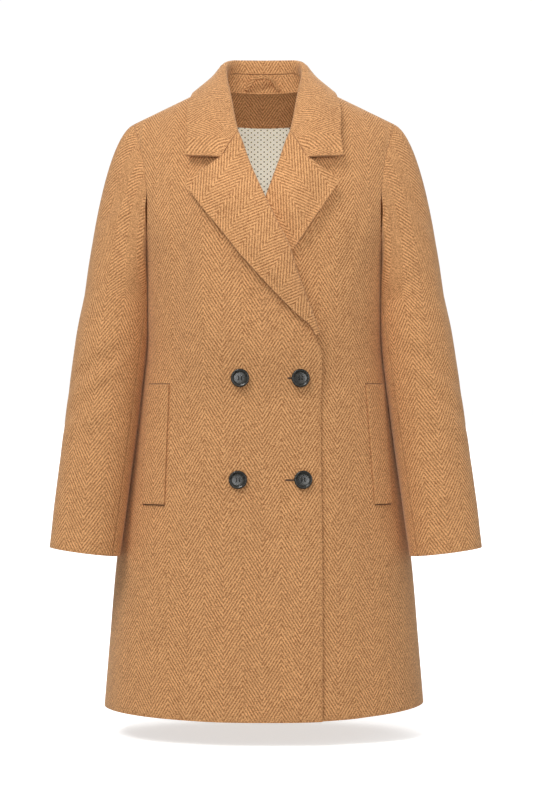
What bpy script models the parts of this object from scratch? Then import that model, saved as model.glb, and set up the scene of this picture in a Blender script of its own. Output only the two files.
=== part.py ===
"""Double-breasted overcoat, filled out as if worn, with nobody inside.

Metres, +Z up. The front faces -Y and the wearer's left is +X. The origin is the middle of the
neck at the height where the neck meets the shoulders. Every cloth piece is a wall of even
thickness over a grid of points, and the grids come from the section tables below.
"""

import math

import bmesh
import bpy
import numpy as np
from mathutils import Vector

# ---------------------------------------------------------------- driving sizes

WALL = 0.0025  # coat cloth
LAPEL_LAYER = 0.0020  # each of the two layers of a lapel
LINING_WALL = 0.0010
SEAM_GAP = 0.0003  # between pieces that are sewn together
LAYER_GAP = 0.0005  # between pieces that lie on each other

HEM = -0.909  # at the middle
HEM_RISE_RIGHT = 0.0065  # toward the right side seam
HEM_RISE_LEFT = 0.0115
NECK_HALF_WIDTH = 0.078  # neck point of the shoulder seam, from the middle
NECK_POINT_HEIGHT = 0.020
SHOULDER_HALF_WIDTH = 0.195
SHOULDER_SLOPE = 0.484  # drop per metre outward
NECK_RISE = 0.016  # how far the shoulder ridge rises between the neck points
BACK_NECK_HEIGHT = 0.017
ARMPIT = -0.235

# Roundness of the body's sections, and of the way that front and back roll over the shoulder.
SECTION_POWER = 2.3
FRONT_ROLL_DEPTH = 0.20
FRONT_ROLL_POWER = 1.7
BACK_ROLL_DEPTH = 0.14
BACK_ROLL_POWER = 2.0

BODY_COLUMNS = ("height", "half_width", "front_depth", "back_depth")
BODY_SECTIONS = (
    (-0.912, 0.2388, 0.150, 0.148),  # hem
    (-0.800, 0.2296, 0.146, 0.143),
    (-0.690, 0.2202, 0.142, 0.137),  # hip
    (-0.540, 0.1990, 0.137, 0.124),
    (-0.450, 0.1870, 0.133, 0.112),
    (-0.360, 0.1770, 0.130, 0.105),  # waist
    (-0.290, 0.1785, 0.130, 0.107),
    (-0.235, 0.1830, 0.130, 0.110),  # armpit
    (-0.200, 0.1900, 0.128, 0.111),
    (-0.165, 0.1960, 0.125, 0.111),
    (-0.100, 0.2020, 0.120, 0.110),
    (-0.040, 0.2060, 0.118, 0.108),
    (0.040, 0.2060, 0.118, 0.108),
)

# Armhole seen from the front: distance from the middle at each height.
ARMHOLE_COLUMNS = ("height", "front_x", "back_x")
ARMHOLE = (
    (-0.235, 0.1830, 0.1830),
    (-0.226, 0.1762, 0.1775),
    (-0.205, 0.1722, 0.1740),
    (-0.165, 0.1712, 0.1730),
    (-0.130, 0.1735, 0.1745),
    (-0.095, 0.1785, 0.1790),
    (-0.062, 0.1870, 0.1870),
    (-0.0366, 0.1950, 0.1950),
)

# Right front: free edge from the hem up to where the lapel breaks, then the roll line to the
# collar, then the neck seam to the neck point.
FRONT_EDGE_COLUMNS = ("height", "edge_x")
FRONT_EDGE = (
    (-0.912, 0.0829),
    (-0.700, 0.0830),
    (-0.500, 0.0808),
    (-0.400, 0.0806),
    (-0.366, 0.0765),
    (-0.336, 0.0687),
    (-0.299, 0.0555),
    (-0.260, 0.0425),
    (-0.232, 0.0345),
    (-0.195, 0.0168),
    (-0.157, -0.0012),
    (-0.102, -0.0236),
    (-0.062, -0.0380),
    (-0.040, -0.0580),
    (-0.015, -0.0720),
    (0.004, -0.0770),
    (0.020, -0.0780),
)
CENTRE_SHIFT = 0.009
CENTRE_SHIFT_LOW = -0.37
CENTRE_SHIFT_HIGH = -0.09
MIRROR_FADE_FROM = 0.10
MIRROR_FADE_TO = 0.16

# The right front rests on the left lapel at the chest and on the left front below it.
OVER_LAPEL = 0.0124
OVER_FRONT = 0.0034
OVERLAP_START = -0.135
OVERLAP_FULL = -0.066
OVER_LAPEL_LOW = -0.46
OVER_LAPEL_HIGH = -0.36
LIFT_ENDS_LOW = -0.172
LIFT_ENDS_HIGH = -0.105

ROWS_BELOW = 16
ROWS_ABOVE = 10
FRONT_COLUMNS = 15
BACK_COLUMNS = 21

# Left sleeve: rings square to an axis that leans out, by their depth below the neck.
SLEEVE_LEAN = 7.3
CAP_ENDS = -0.300
CUFF = -0.670
CAP_FULLNESS = 0.52
CAP_FALL = 0.76
SLEEVE_CLEARANCE = 0.0035
CUFF_DRIFT = 0.0025  # both cuffs hang this much toward the wearer's left
UNDERARM_COSINE = 0.55  # how far round the armhole the sleeve lies on the body
SLEEVE_COLUMNS = ("below", "centre_x", "centre_y", "half_width", "half_depth")
SLEEVE = (
    (0.300, 0.2156, -0.014, 0.0522, 0.0600),
    (0.360, 0.2250, -0.026, 0.0542, 0.0575),
    (0.449, 0.2366, -0.040, 0.0541, 0.0530),
    (0.538, 0.2482, -0.054, 0.0535, 0.0485),
    (0.610, 0.2572, -0.064, 0.0530, 0.0450),
    (0.670, 0.2643, -0.072, 0.0521, 0.0425),
)
CAP_ROWS = 6
SLEEVE_ROWS = 9
FRONT_SEAM_STEP = 8  # seams of the two-piece sleeve, in armhole steps from the shoulder
BACK_SEAM_STEP = 13
SLEEVE_SEAM_TURN = 0.9  # degrees that each piece stops short of a seam

# Lapel of the right front, seen from the front: points of its roll line and of its free edge.
# The roll starts at the collar, and the last row is where the lapel narrows to the break.
LAPEL_COLUMNS = ("roll_height", "edge_x", "edge_height")
LAPEL = (
    (-0.062, -0.1074, -0.1400),
    (-0.102, -0.1040, -0.1470),
    (-0.157, -0.0700, -0.1915),
    (-0.195, -0.0390, -0.2322),
    (-0.232, -0.0075, -0.2700),
    (-0.262, 0.0220, -0.3025),
    (-0.299, 0.0460, -0.3275),
    (-0.330, 0.0590, -0.3450),
    (-0.352, 0.0665, -0.3590),
)
NOTCH = (-0.0585, -0.1020)  # x and height of the inner corner between collar and lapel
NOTCH_STEP = 4  # where it lies along the lapel's top row
NOTCH_FADE = 0.12
FOLD_ENDS = -0.352
FOLD_CLEARANCE = 0.0016  # between a front panel and the lapel folded over its end
ROLL_RADIUS = 0.0034
ROLL_RADIUS_AT_COLLAR = 0.0045
LAPEL_ROWS = 15
BEND_STEPS = 5
LAPEL_STEPS = 9
LAPEL_SWELL = 0.006
LAPEL_EDGE_STAND = 0.004
LEFT_LAPEL_WIDTH = 0.92

# Collar stations from the middle of the back round to the wearer's left gorge, each with its
# seam to the stand, the top of the roll, the middle of the fall and the fall's free edge.
# each row: a point on the neck seam, the roll, the fall and the outer edge, from the middle of the back
COLLAR = (
    ((0.000, 0.0545, 0.0465), (0.000, 0.0610, 0.0668),
     (0.000, 0.0790, 0.0450), (0.000, 0.0860, 0.0150)),
    ((0.030, 0.0520, 0.0465), (0.031, 0.0570, 0.0664),
     (0.038, 0.0745, 0.0450), (0.044, 0.0815, 0.0140)),
    ((0.048, 0.0420, 0.0455), (0.049, 0.0440, 0.0640),
     (0.064, 0.0560, 0.0455), (0.080, 0.0640, 0.0160)),
    ((0.0590, 0.0250, 0.0360), (0.0580, 0.0225, 0.0560),
     (0.0805, 0.0290, 0.0335), (0.0995, 0.0340, 0.0140)),
    ((0.0625, 0.0030, 0.0200), (0.0570, -0.0040, 0.0340),
     (0.0840, -0.0130, 0.0220), (0.1060, -0.0150, 0.0062)),
    ((0.0580, -0.0290, -0.0060), (0.0505, -0.0410, 0.0010),
     (0.0805, -0.0570, -0.0110), (0.1125, -0.0520, -0.0230)),
    ((0.0490, -0.0640, -0.0370), (0.0440, -0.0780, -0.0380),
     (0.0730, -0.0910, -0.0500), (0.1110, -0.0800, -0.0570)),
)
COLLAR_HALF = 0.0020  # half the fall's thickness
COLLAR_POINT = (0.1095, -0.0955)
COLLAR_BEND = 0.006  # from the top of the roll down either side of it
COLLAR_BEND_SPREAD = 0.0025
COLLAR_COLUMNS_ROUND = 31
COLLAR_STEPS = 8
NECK_BACK_X = (0.0, 0.030, 0.054, 0.070)
NECK_FRONT_HEIGHTS = (0.000, -0.030, -0.052)
GORGE_GAP = 0.0025  # the fall's ends stop this short of the lapels
STAND_INSET = 4  # columns that the stand stops short of each gorge
STAND_ROWS = 3
STAND_SEAM_GAP = 0.0013
NECK_SEAM_RISE = 0.0024

BACK_FACING_DEPTH = 0.038
FACING_WALL = 0.0020
FACING_TOP_HALF = 0.066
FACING_BOTTOM_HALF = 0.088
FACING_BELOW_SEAM = 0.0030
LINING_ABOVE_HEM = 0.030
LINING_TOP = -0.030
LINING_SIDE_GAP = 0.010
LINING_BELOW_SHOULDER = 0.020
LINING_LEVEL = -0.160  # below this the lining's rows are level
INSIDE_DEPTH = 0.0030  # from the back's inner face in to its facing and lining
FACING_SAG = 0.008
FACING_SEAM_GAP = 0.0012
FACING_ROWS = 5
LINING_ROWS = 16
LINING_COLUMNS = 17

# Hanger loop, along the inside of the stand: x, height, and how far it stands off.
# each row: x, height, distance off the facing
LOOP = (
    (-0.0270, 0.0215, 0.0008),
    (-0.0180, 0.0330, 0.0040),
    (-0.0080, 0.0405, 0.0065),
    (0.0030, 0.0410, 0.0065),
    (0.0130, 0.0330, 0.0040),
    (0.0220, 0.0205, 0.0008),
)
LOOP_WIDTH = 0.0060
LOOP_WALL = 0.0018

# Welts: x of the inner and outer edge at the top and the bottom.
# each row: name, x of the inner and outer top corners, x of the inner and outer bottom corners
WELTS = (
    ("pocket_welt_right", -0.1367, -0.1680, -0.1430, -0.1755),
    ("pocket_welt_left", 0.1470, 0.1730, 0.1600, 0.1850),
)
WELT_TOP = -0.426
WELT_BOTTOM = -0.600
WELT_WALL = 0.0030
WELT_ROWS = 9
WELT_COLUMNS_ACROSS = 4

BUTTON_RADIUS = 0.0132
BUTTON_THICK = 0.0042
BUTTON_SIDES = 24
SHANK = 0.0012
SHANK_RADIUS = 0.0030
HOLE_RADIUS = 0.0009
HOLE_SPACING = 0.0021  # from the button's middle, across and up
HOLE_FLOOR = 0.0008
# the face from the back edge to the middle: share of the radius, share of the thickness
BUTTON_FACE = (
    (0.80, 0.00),
    (1.00, 0.45),
    (0.96, 0.85),
    (0.88, 1.00),
    (0.74, 0.82),
    (0.62, 0.62),
    (0.00, 0.56),
)
# each row: name, x, height
BUTTONS = (
    ("button_upper_left", 0.0508, -0.4180),
    ("button_lower_left", 0.0553, -0.5630),
    ("button_upper_right", -0.0335, -0.4177),
    ("button_lower_right", -0.0368, -0.5630),
)

CAMEL = (0.56, 0.31, 0.14)
LINING_CREAM = (0.86, 0.82, 0.66)
HORN = (0.035, 0.032, 0.030)

# ---------------------------------------------------------------- curves and tables


def column(columns, rows, name):
    """One named column of a table."""
    return np.array([row[columns.index(name)] for row in rows], dtype=float)


def smooth(at, xs, ys):
    """A smooth curve through a table's points that never overshoots them."""
    at = np.asarray(at, dtype=float)
    step = np.diff(xs)
    slope = np.diff(ys) / step
    tangent = np.zeros(len(xs))
    tangent[0] = slope[0]
    tangent[-1] = slope[-1]
    for i in range(1, len(xs) - 1):
        if slope[i - 1] * slope[i] > 0:
            tangent[i] = 2 * slope[i - 1] * slope[i] / (slope[i - 1] + slope[i])
    i = np.clip(np.searchsorted(xs, at, side="right") - 1, 0, len(xs) - 2)
    t = np.clip((at - xs[i]) / step[i], 0, 1)
    rise = (2 * t**3 - 3 * t**2 + 1) * ys[i] + (3 * t**2 - 2 * t**3) * ys[i + 1]
    lean = (t**3 - 2 * t**2 + t) * tangent[i] + (t**3 - t**2) * tangent[i + 1]
    return rise + lean * step[i]


def from_table(columns, rows, name, at, key):
    """A column of a table, read smoothly at any value of its key column."""
    return smooth(at, column(columns, rows, key), column(columns, rows, name))


def ramp(at, low, high):
    """0 below low, 1 above high, eased between."""
    t = np.clip((np.asarray(at, dtype=float) - low) / (high - low), 0, 1)
    return t * t * (3 - 2 * t)


def lerp(a, b, t):
    return a + (b - a) * t


# ---------------------------------------------------------------- the body's form


def shoulder_ridge(x):
    """Height of the shoulder seam's line, and of the neck's crest between the neck points."""
    x = np.abs(x)
    outside = NECK_POINT_HEIGHT - SHOULDER_SLOPE * (x - NECK_HALF_WIDTH)
    inside = NECK_POINT_HEIGHT + NECK_RISE * (1 - (x / NECK_HALF_WIDTH) ** 2)
    return np.where(x > NECK_HALF_WIDTH, outside, inside)


def half_width(z):
    return from_table(BODY_COLUMNS, BODY_SECTIONS, "half_width", z, "height")


def body_y(x, z, side):
    """Depth of the body's outer face at x and z: side is -1 for the front, 1 for the back."""
    name = "front_depth" if side < 0 else "back_depth"
    reach = FRONT_ROLL_DEPTH if side < 0 else BACK_ROLL_DEPTH
    power = FRONT_ROLL_POWER if side < 0 else BACK_ROLL_POWER
    depth = from_table(BODY_COLUMNS, BODY_SECTIONS, name, z, "height")
    across = np.clip(np.abs(x) / half_width(z), 0, 1)
    round_off = (1 - across**SECTION_POWER) ** (1 / SECTION_POWER)
    below = np.clip((shoulder_ridge(x) - z) / reach, 0, 1)
    roll_over = (1 - (1 - below) ** power) ** (1 / power)
    return side * depth * round_off * roll_over


def armhole_x(z, side):
    name = "front_x" if side < 0 else "back_x"
    return from_table(ARMHOLE_COLUMNS, ARMHOLE, name, z, "height")


# ---------------------------------------------------------------- walls from grids of points


def grid_normals(grid, towards):
    """Unit normals of a grid of points, on the side that the vector `towards` says."""
    along = np.gradient(grid, axis=0)
    across = np.gradient(grid, axis=1)
    normal = np.cross(along, across)
    normal /= np.maximum(np.linalg.norm(normal, axis=2, keepdims=True), 1e-12)
    middle = normal[grid.shape[0] // 2, grid.shape[1] // 2]
    return normal if np.dot(middle, towards) > 0 else -normal


def moved_out(grid, distance, towards):
    """The grid moved along its own normals by a distance, one for all or one for each point."""
    distance = np.asarray(distance, dtype=float)
    if distance.ndim == 2:
        distance = distance[:, :, None]
    return grid + grid_normals(grid, towards) * distance


def add_object(name, vertices, faces, finish):
    mesh = bpy.data.meshes.new(name)
    mesh.from_pydata([tuple(v) for v in vertices], [], faces)
    mesh.validate()
    mesh.shade_smooth()
    mesh.set_sharp_from_angle(angle=math.radians(40))
    mesh.materials.append(finish)
    piece = bpy.data.objects.new(name, mesh)
    bpy.context.scene.collection.objects.link(piece)
    return piece


def add_wall(name, outer, inner, finish):
    """A closed wall between two grids of the same shape, the first on its outer side."""
    rows, cols = outer.shape[:2]
    count = rows * cols
    vertices = np.concatenate([outer.reshape(-1, 3), inner.reshape(-1, 3)])
    faces = []
    for r in range(rows - 1):
        for c in range(cols - 1):
            a, b = r * cols + c, r * cols + c + 1
            d, e = a + cols, b + cols
            faces.append((a, b, e, d))
            faces.append((count + a, count + d, count + e, count + b))
    rim = [(0, c) for c in range(cols)]
    rim += [(r, cols - 1) for r in range(1, rows)]
    rim += [(rows - 1, c) for c in range(cols - 2, -1, -1)]
    rim += [(r, 0) for r in range(rows - 2, 0, -1)]
    ids = [r * cols + c for r, c in rim]
    for a, b in zip(ids, ids[1:] + ids[:1]):
        faces.append((b, a, count + a, count + b))
    middle = (rows // 2, cols // 2)
    across = np.cross(
        outer[middle[0], middle[1]] - outer[middle[0], middle[1] - 1],
        outer[middle[0], middle[1]] - outer[middle[0] - 1, middle[1]],
    )
    if np.dot(across, outer[middle] - inner[middle]) < 0:
        faces = [face[::-1] for face in faces]
    return add_object(name, vertices, faces, finish)


def add_cloth(name, grid, towards, out, thickness, finish):
    """Cloth of even thickness whose outer face lies `out` from the grid."""
    outer = moved_out(grid, out, towards)
    inner = moved_out(grid, np.asarray(out) - thickness, towards)
    return add_wall(name, outer, inner, finish)


def curve_through(points, count):
    """`count` points along a smooth curve through a few points, even in the points' own steps."""
    points = np.asarray(points, dtype=float)
    own = np.arange(len(points), dtype=float)
    at = np.linspace(0, len(points) - 1, count)
    padded = np.vstack([2 * points[0] - points[1], points, 2 * points[-1] - points[-2]])
    i = np.clip(np.floor(at).astype(int), 0, len(points) - 2)
    t = (at - own[i])[:, None]
    a, b, c, d = padded[i], padded[i + 1], padded[i + 2], padded[i + 3]
    return 0.5 * (2 * b + (c - a) * t + (2 * a - 5 * b + 4 * c - d) * t**2
                  + (3 * b - a - 3 * c + d) * t**3)


def fabric(name, colour, roughness):
    finish = bpy.data.materials.new(name)
    finish.use_nodes = True
    shader = finish.node_tree.nodes["Principled BSDF"]
    shader.inputs["Base Color"].default_value = (*colour, 1.0)
    shader.inputs["Roughness"].default_value = roughness
    shader.inputs["Metallic"].default_value = 0.0
    return finish


# ---------------------------------------------------------------- front and back panels


def front_lift(x, z):
    """How far the right front lies out over the left front and its lapel."""
    over = ramp(x, OVERLAP_START, OVERLAP_FULL)
    chest = OVER_LAPEL * ramp(z, OVER_LAPEL_LOW, OVER_LAPEL_HIGH)
    hem = OVER_FRONT * (1 - ramp(z, OVER_LAPEL_LOW, OVER_LAPEL_HIGH))
    return over * (chest + hem) * (1 - ramp(z, LIFT_ENDS_LOW, LIFT_ENDS_HIGH))


def no_lift(x, z):
    return np.zeros(np.broadcast(x, z).shape)


def body_point(x, z, out, side):
    """The point over x, z on the front or back face, moved out along the face's normal."""
    x, z = np.broadcast_arrays(np.asarray(x, dtype=float), np.asarray(z, dtype=float))
    step = 0.001
    y = body_y(x, z, side)
    slope_x = (body_y(x + step, z, side) - body_y(x - step, z, side)) / (2 * step)
    slope_z = (body_y(x, z + step, side) - body_y(x, z - step, side)) / (2 * step)
    normal = np.stack([-side * slope_x, side * np.ones_like(x), -side * slope_z], axis=-1)
    normal /= np.linalg.norm(normal, axis=-1, keepdims=True)
    return np.stack([x, y, z], axis=-1) + normal * np.asarray(out)[..., None]


def front_point(x, z, out):
    return body_point(x, z, out, -1)


def centre_front(z):
    """The middle that the two fronts mirror about: it moves aside where they overlap."""
    return CENTRE_SHIFT * (1 - ramp(z, CENTRE_SHIFT_LOW, CENTRE_SHIFT_HIGH))


def front_edge_x(z):
    """The right front's free edge and roll line, up to the neck point."""
    return from_table(FRONT_EDGE_COLUMNS, FRONT_EDGE, "edge_x", z, "height")


def panel_heights():
    """Rows from the hem to the armpit, then a 0 to 1 share of the way up to the shoulder seam."""
    lower = np.linspace(HEM, ARMPIT, ROWS_BELOW + 1)
    upper = (1 - np.cos(math.pi * np.linspace(0, 1, ROWS_ABOVE + 1)[1:])) / 2
    return lower, upper


def across_panel(x_from, x_to, width, count):
    """x values of a row, spaced evenly round the body's section."""
    turn_from, turn_to = (math.asin(max(-1.0, min(1.0, x / width))) for x in (x_from, x_to))
    return width * np.sin(np.linspace(turn_from, turn_to, count))


def hem_risen(x, z, rise):
    """Points of a panel lifted toward the side seams as the hem is, less and less upward."""
    width = half_width(z)
    share = np.clip((ARMPIT - z) / (ARMPIT - HEM), 0, 1)
    risen = z + rise * share * (x / width) ** 2
    return x * half_width(risen) / width, risen


def front_grid():
    """The right front from its side seam and armhole to its edge and roll line."""
    lower, upper = panel_heights()
    shoulder_height = float(shoulder_ridge(SHOULDER_HALF_WIDTH))
    rows = []
    for z in lower:
        width = float(half_width(z))
        inside = float(front_edge_x(z)) - roll_inset(z)
        x = across_panel(-width, inside, width, FRONT_COLUMNS)
        x, z = hem_risen(x, z, HEM_RISE_RIGHT)
        rows.append(np.stack([x, body_y(x, z, -1), z], axis=1))
    for share in upper:
        z_out = lerp(ARMPIT, shoulder_height, share)
        z_in = lerp(ARMPIT, NECK_POINT_HEIGHT, share)
        x_out = -float(armhole_x(z_out, -1))
        x_in = float(front_edge_x(z_in)) - roll_inset(z_in)
        x = across_panel(x_out, x_in, max(float(half_width(z_out)), -x_out), FRONT_COLUMNS)
        z = lerp(z_out, z_in, (x - x_out) / (x_in - x_out))
        z = np.minimum(z, shoulder_ridge(x))
        rows.append(np.stack([x, body_y(x, z, -1), z], axis=1))
    grid = np.array(rows)
    grid[:, :, 1] = np.minimum(grid[:, :, 1], -SEAM_GAP / 2)
    return grid


def seam_normals(grid, towards, side_columns, top_row):
    """Grid normals, turned square to the side seams and the shoulder seam along those edges."""
    normal = grid_normals(grid, towards)
    for c in side_columns:
        normal[: ROWS_BELOW + 1, c, 1] = 0
    if top_row:
        over_shoulder = np.abs(grid[-1, :, 0]) > NECK_HALF_WIDTH - 0.001
        normal[-1, over_shoulder, 1] = 0
    return normal / np.linalg.norm(normal, axis=2, keepdims=True)


def mirrored_front(grid):
    """The left front: the right one mirrored about the middle where the fronts overlap."""
    other = grid.copy()
    aside = 1 - ramp(-grid[:, :, 0], MIRROR_FADE_FROM, MIRROR_FADE_TO)
    other[:, :, 0] = -grid[:, :, 0] + 2 * centre_front(grid[:, :, 2]) * aside
    x, z = hem_risen(other[:, :, 0], other[:, :, 2], HEM_RISE_LEFT - HEM_RISE_RIGHT)
    other[:, :, 0], other[:, :, 2] = x, z
    other[:, :, 1] = np.minimum(body_y(other[:, :, 0], other[:, :, 2], -1), -SEAM_GAP / 2)
    side = np.abs(grid[:, :, 0]) > MIRROR_FADE_TO
    other[side, 1] = grid[side, 1]
    return other


def add_fronts(cloth):
    right = front_grid()
    left = mirrored_front(right)
    for name, grid, lift in (("front_right", right, front_lift), ("front_left", left, no_lift)):
        normal = seam_normals(grid, (0, -1, 0), (0,), True)
        outer = grid + normal * lift(grid[:, :, 0], grid[:, :, 2])[:, :, None]
        add_wall(name, outer, outer - normal * WALL, cloth)


def back_top(x):
    """Top edge of the back: shoulder seam, neck seam, shoulder seam."""
    neck = BACK_NECK_HEIGHT + (NECK_POINT_HEIGHT - BACK_NECK_HEIGHT) * (x / NECK_HALF_WIDTH) ** 2
    return np.where(np.abs(x) < NECK_HALF_WIDTH, neck, shoulder_ridge(x))


def back_grid(top=back_top):
    """The back from side seam to side seam, up to its armholes, shoulder seams and neck."""
    lower, upper = panel_heights()
    shoulder_height = float(shoulder_ridge(SHOULDER_HALF_WIDTH))
    rows = []
    for z in lower:
        width = float(half_width(z))
        x = across_panel(-width, width, width, BACK_COLUMNS)
        x, z = hem_risen(x, z, np.where(x < 0, HEM_RISE_RIGHT, HEM_RISE_LEFT))
        rows.append(np.stack([x, body_y(x, z, 1), z], axis=1))
    top_x = across_panel(-SHOULDER_HALF_WIDTH, SHOULDER_HALF_WIDTH, 0.206, BACK_COLUMNS)
    for share in upper:
        z_out = lerp(ARMPIT, shoulder_height, share)
        x_out = float(armhole_x(z_out, 1))
        x = across_panel(-x_out, x_out, max(float(half_width(z_out)), x_out), BACK_COLUMNS)
        z = lerp(ARMPIT, top(lerp(x, top_x, share)), share)
        z = np.minimum(z, shoulder_ridge(x))
        rows.append(np.stack([x, body_y(x, z, 1), z], axis=1))
    grid = np.array(rows)
    grid[:, :, 1] = np.maximum(grid[:, :, 1], SEAM_GAP / 2)
    return grid


def add_back(cloth):
    grid = back_grid()
    normal = seam_normals(grid, (0, 1, 0), (0, -1), True)
    add_wall("back", grid, grid - normal * WALL, cloth)


# ---------------------------------------------------------------- sleeves


def sleeve_ring(height, turns):
    """One ring of the left sleeve, square to its axis. Turn 0 is the outer side, 90 the front."""
    centre_x, centre_y, half_across, half_deep = (
        float(from_table(SLEEVE_COLUMNS, SLEEVE, name, -height, "below"))
        for name in ("centre_x", "centre_y", "half_width", "half_depth")
    )
    lean = math.radians(SLEEVE_LEAN)
    out = half_across * np.cos(turns)
    return np.stack(
        [
            centre_x + out * math.cos(lean),
            centre_y - half_deep * np.sin(turns),
            height + out * math.sin(lean),
        ],
        axis=1,
    )


def armhole_ring():
    """The left armhole's points and normals, from the shoulder down the front and up the back."""
    front, back = front_grid(), back_grid()
    front_normal = seam_normals(front, (0, -1, 0), (0,), True)
    back_normal = seam_normals(back, (0, 1, 0), (0, -1), True)
    mirror = np.array([-1, 1, 1])
    edge = slice(ROWS_BELOW, None)
    points = np.concatenate([front[edge, 0][::-1], back[edge, 0][1:-1]]) * mirror
    normals = np.concatenate([front_normal[edge, 0][::-1], back_normal[edge, 0][1:-1]]) * mirror
    return points, normals


def clear_of_body(points, turns):
    """Rows of sleeve points moved out sideways until they clear the body's side."""
    z = points[..., 2]
    row = np.arange(len(points))[:, None]
    gap = SLEEVE_CLEARANCE * ramp(row, 0, 1.3) + 2 * SEAM_GAP
    front = from_table(BODY_COLUMNS, BODY_SECTIONS, "front_depth", z, "height")
    back = from_table(BODY_COLUMNS, BODY_SECTIONS, "back_depth", z, "height")
    depth = np.where(points[..., 1] < 0, front, back) + gap
    inside = np.clip(np.abs(points[..., 1]) / depth, 0, 1)
    limit = (half_width(z) + gap) * (1 - inside**SECTION_POWER) ** (1 / SECTION_POWER)
    underarm = np.broadcast_to(ramp(-np.cos(turns), 0.0, UNDERARM_COSINE), z.shape)
    share = np.where(z < ARMPIT, 1.0, underarm)
    moved = points.copy()
    moved[..., 0] += share * np.maximum(limit - points[..., 0], 0)
    return moved


def sleeve_grid():
    """The whole left sleeve from armhole to cuff, a column for each point of the armhole."""
    turns = np.radians(np.arange(2 * ROWS_ABOVE) * 180.0 / ROWS_ABOVE)
    start, start_normal = armhole_ring()
    first = sleeve_ring(CAP_ENDS, turns)
    length = np.linalg.norm(first - start, axis=1, keepdims=True)
    top = ((1 + np.cos(turns)) / 2) ** 2
    away = np.stack([0.05 + 0.84 * top, -0.2 * np.sin(turns), -1 + 0.544 * top], axis=1)
    away /= np.linalg.norm(away, axis=1, keepdims=True)
    lean = math.radians(SLEEVE_LEAN)
    down = np.array([math.sin(lean), -0.15, -math.cos(lean)])
    start = start + away * SEAM_GAP * 1.5
    rows = []
    for t in np.linspace(0, 1, CAP_ROWS + 1)[:-1]:
        rows.append(
            (2 * t**3 - 3 * t**2 + 1) * start
            + (t**3 - 2 * t**2 + t) * away * length * CAP_FULLNESS
            + (3 * t**2 - 2 * t**3) * first
            + (t**3 - t**2) * down * length * CAP_FALL
        )
    for height in np.linspace(CAP_ENDS, CUFF, SLEEVE_ROWS):
        rows.append(sleeve_ring(height, turns))
    grid = clear_of_body(np.array(rows), turns)
    ring = np.concatenate([grid[:, -1:], grid, grid[:, :1]], axis=1)
    normal = np.cross(np.gradient(ring, axis=0), np.gradient(ring, axis=1))[:, 1:-1]
    normal /= np.linalg.norm(normal, axis=2, keepdims=True)
    outer_side = normal[ROWS_ABOVE, 0, 0]
    normal = normal if outer_side > 0 else -normal
    over = ramp(np.cos(turns), 0.0, 0.7)[:, None]
    normal[0] = lerp(normal[1], start_normal, over)
    normal[0] /= np.linalg.norm(normal[0], axis=1, keepdims=True)
    return grid, normal


def cuff_drifted(grid, arm):
    """The sleeve hangs a little to the wearer's left: the left one by its outer side only."""
    inner, outer = grid[..., 0].min(axis=1, keepdims=True), grid[..., 0].max(axis=1, keepdims=True)
    share = (grid[..., 0] - inner) / (outer - inner) if arm == "left" else 1.0
    drifted = grid.copy()
    drifted[..., 0] += CUFF_DRIFT * share * ramp(-grid[..., 2], -ARMPIT, -CUFF)
    return drifted


def sleeve_piece(grid, first, last):
    """Columns of a closed ring from one seam to the next, each end short of its seam."""
    count = grid.shape[1]
    columns = [c % count for c in range(first, last + 1)]
    piece = grid[:, columns].copy()
    short = SLEEVE_SEAM_TURN * ROWS_ABOVE / 180.0
    piece[:, 0] = lerp(grid[:, columns[0]], grid[:, columns[1]], short)
    piece[:, -1] = lerp(grid[:, columns[-1]], grid[:, columns[-2]], short)
    return piece


def add_sleeves(cloth):
    outer, normal = sleeve_grid()
    inner = outer - normal * WALL
    steps_round = 2 * ROWS_ABOVE
    spans = (
        ("top_sleeve", BACK_SEAM_STEP - steps_round, FRONT_SEAM_STEP),
        ("under_sleeve", FRONT_SEAM_STEP, BACK_SEAM_STEP),
    )
    for name, first, last in spans:
        for arm, flip in (("left", 1), ("right", -1)):
            mirror = np.array([flip, 1, 1])
            outside = sleeve_piece(cuff_drifted(outer * mirror, arm), first, last)
            inside = sleeve_piece(cuff_drifted(inner * mirror, arm), first, last)
            add_wall(f"{name}_{arm}", outside, inside, cloth)


# ---------------------------------------------------------------- lapels


def roll_inset(z):
    """How far the front panel stops short of the roll line, where the lapel folds over it."""
    folded = ramp(z, FOLD_ENDS - 0.03, FOLD_ENDS - 0.01) * (1 - ramp(z, -0.052, -0.035))
    return float((lapel_radius(z) + FOLD_CLEARANCE) * folded)


def lapel_radius(z):
    return lerp(ROLL_RADIUS, ROLL_RADIUS_AT_COLLAR, ramp(z, -0.16, -0.062))


def free_swell(run):
    """How far a lapel or collar leaf swells off the front, by its share of the way to the edge."""
    return LAPEL_SWELL * np.sin(math.pi * np.minimum(run * 1.15, 1)) + LAPEL_EDGE_STAND * run**1.5


def lapel_section(width, radius):
    """A lapel's section: distance from the roll line, height over the front, and free swell."""
    turn = np.linspace(-math.pi / 2, math.pi / 2, BEND_STEPS)
    across = radius * (1 - np.cos(turn))
    height = -WALL + radius * (1 + np.sin(turn))
    run = np.linspace(0, 1, LAPEL_STEPS + 1)[1:]
    swell = free_swell(run)
    across = np.concatenate([across, radius + (width - radius) * run])
    height = np.concatenate([height, np.full(LAPEL_STEPS, height[-1])])
    return across, height, np.concatenate([np.zeros(BEND_STEPS), swell])


def free_on_top(x, z):
    """1 where the right lapel swells freely, 0 where it narrows into the break."""
    return ramp(z, -0.352, -0.25)


def free_underneath(x, z):
    """1 where the left lapel swells freely, 0 where the right front presses it flat."""
    return ramp(x - front_edge_x(z), 0.006, 0.032)


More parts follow.
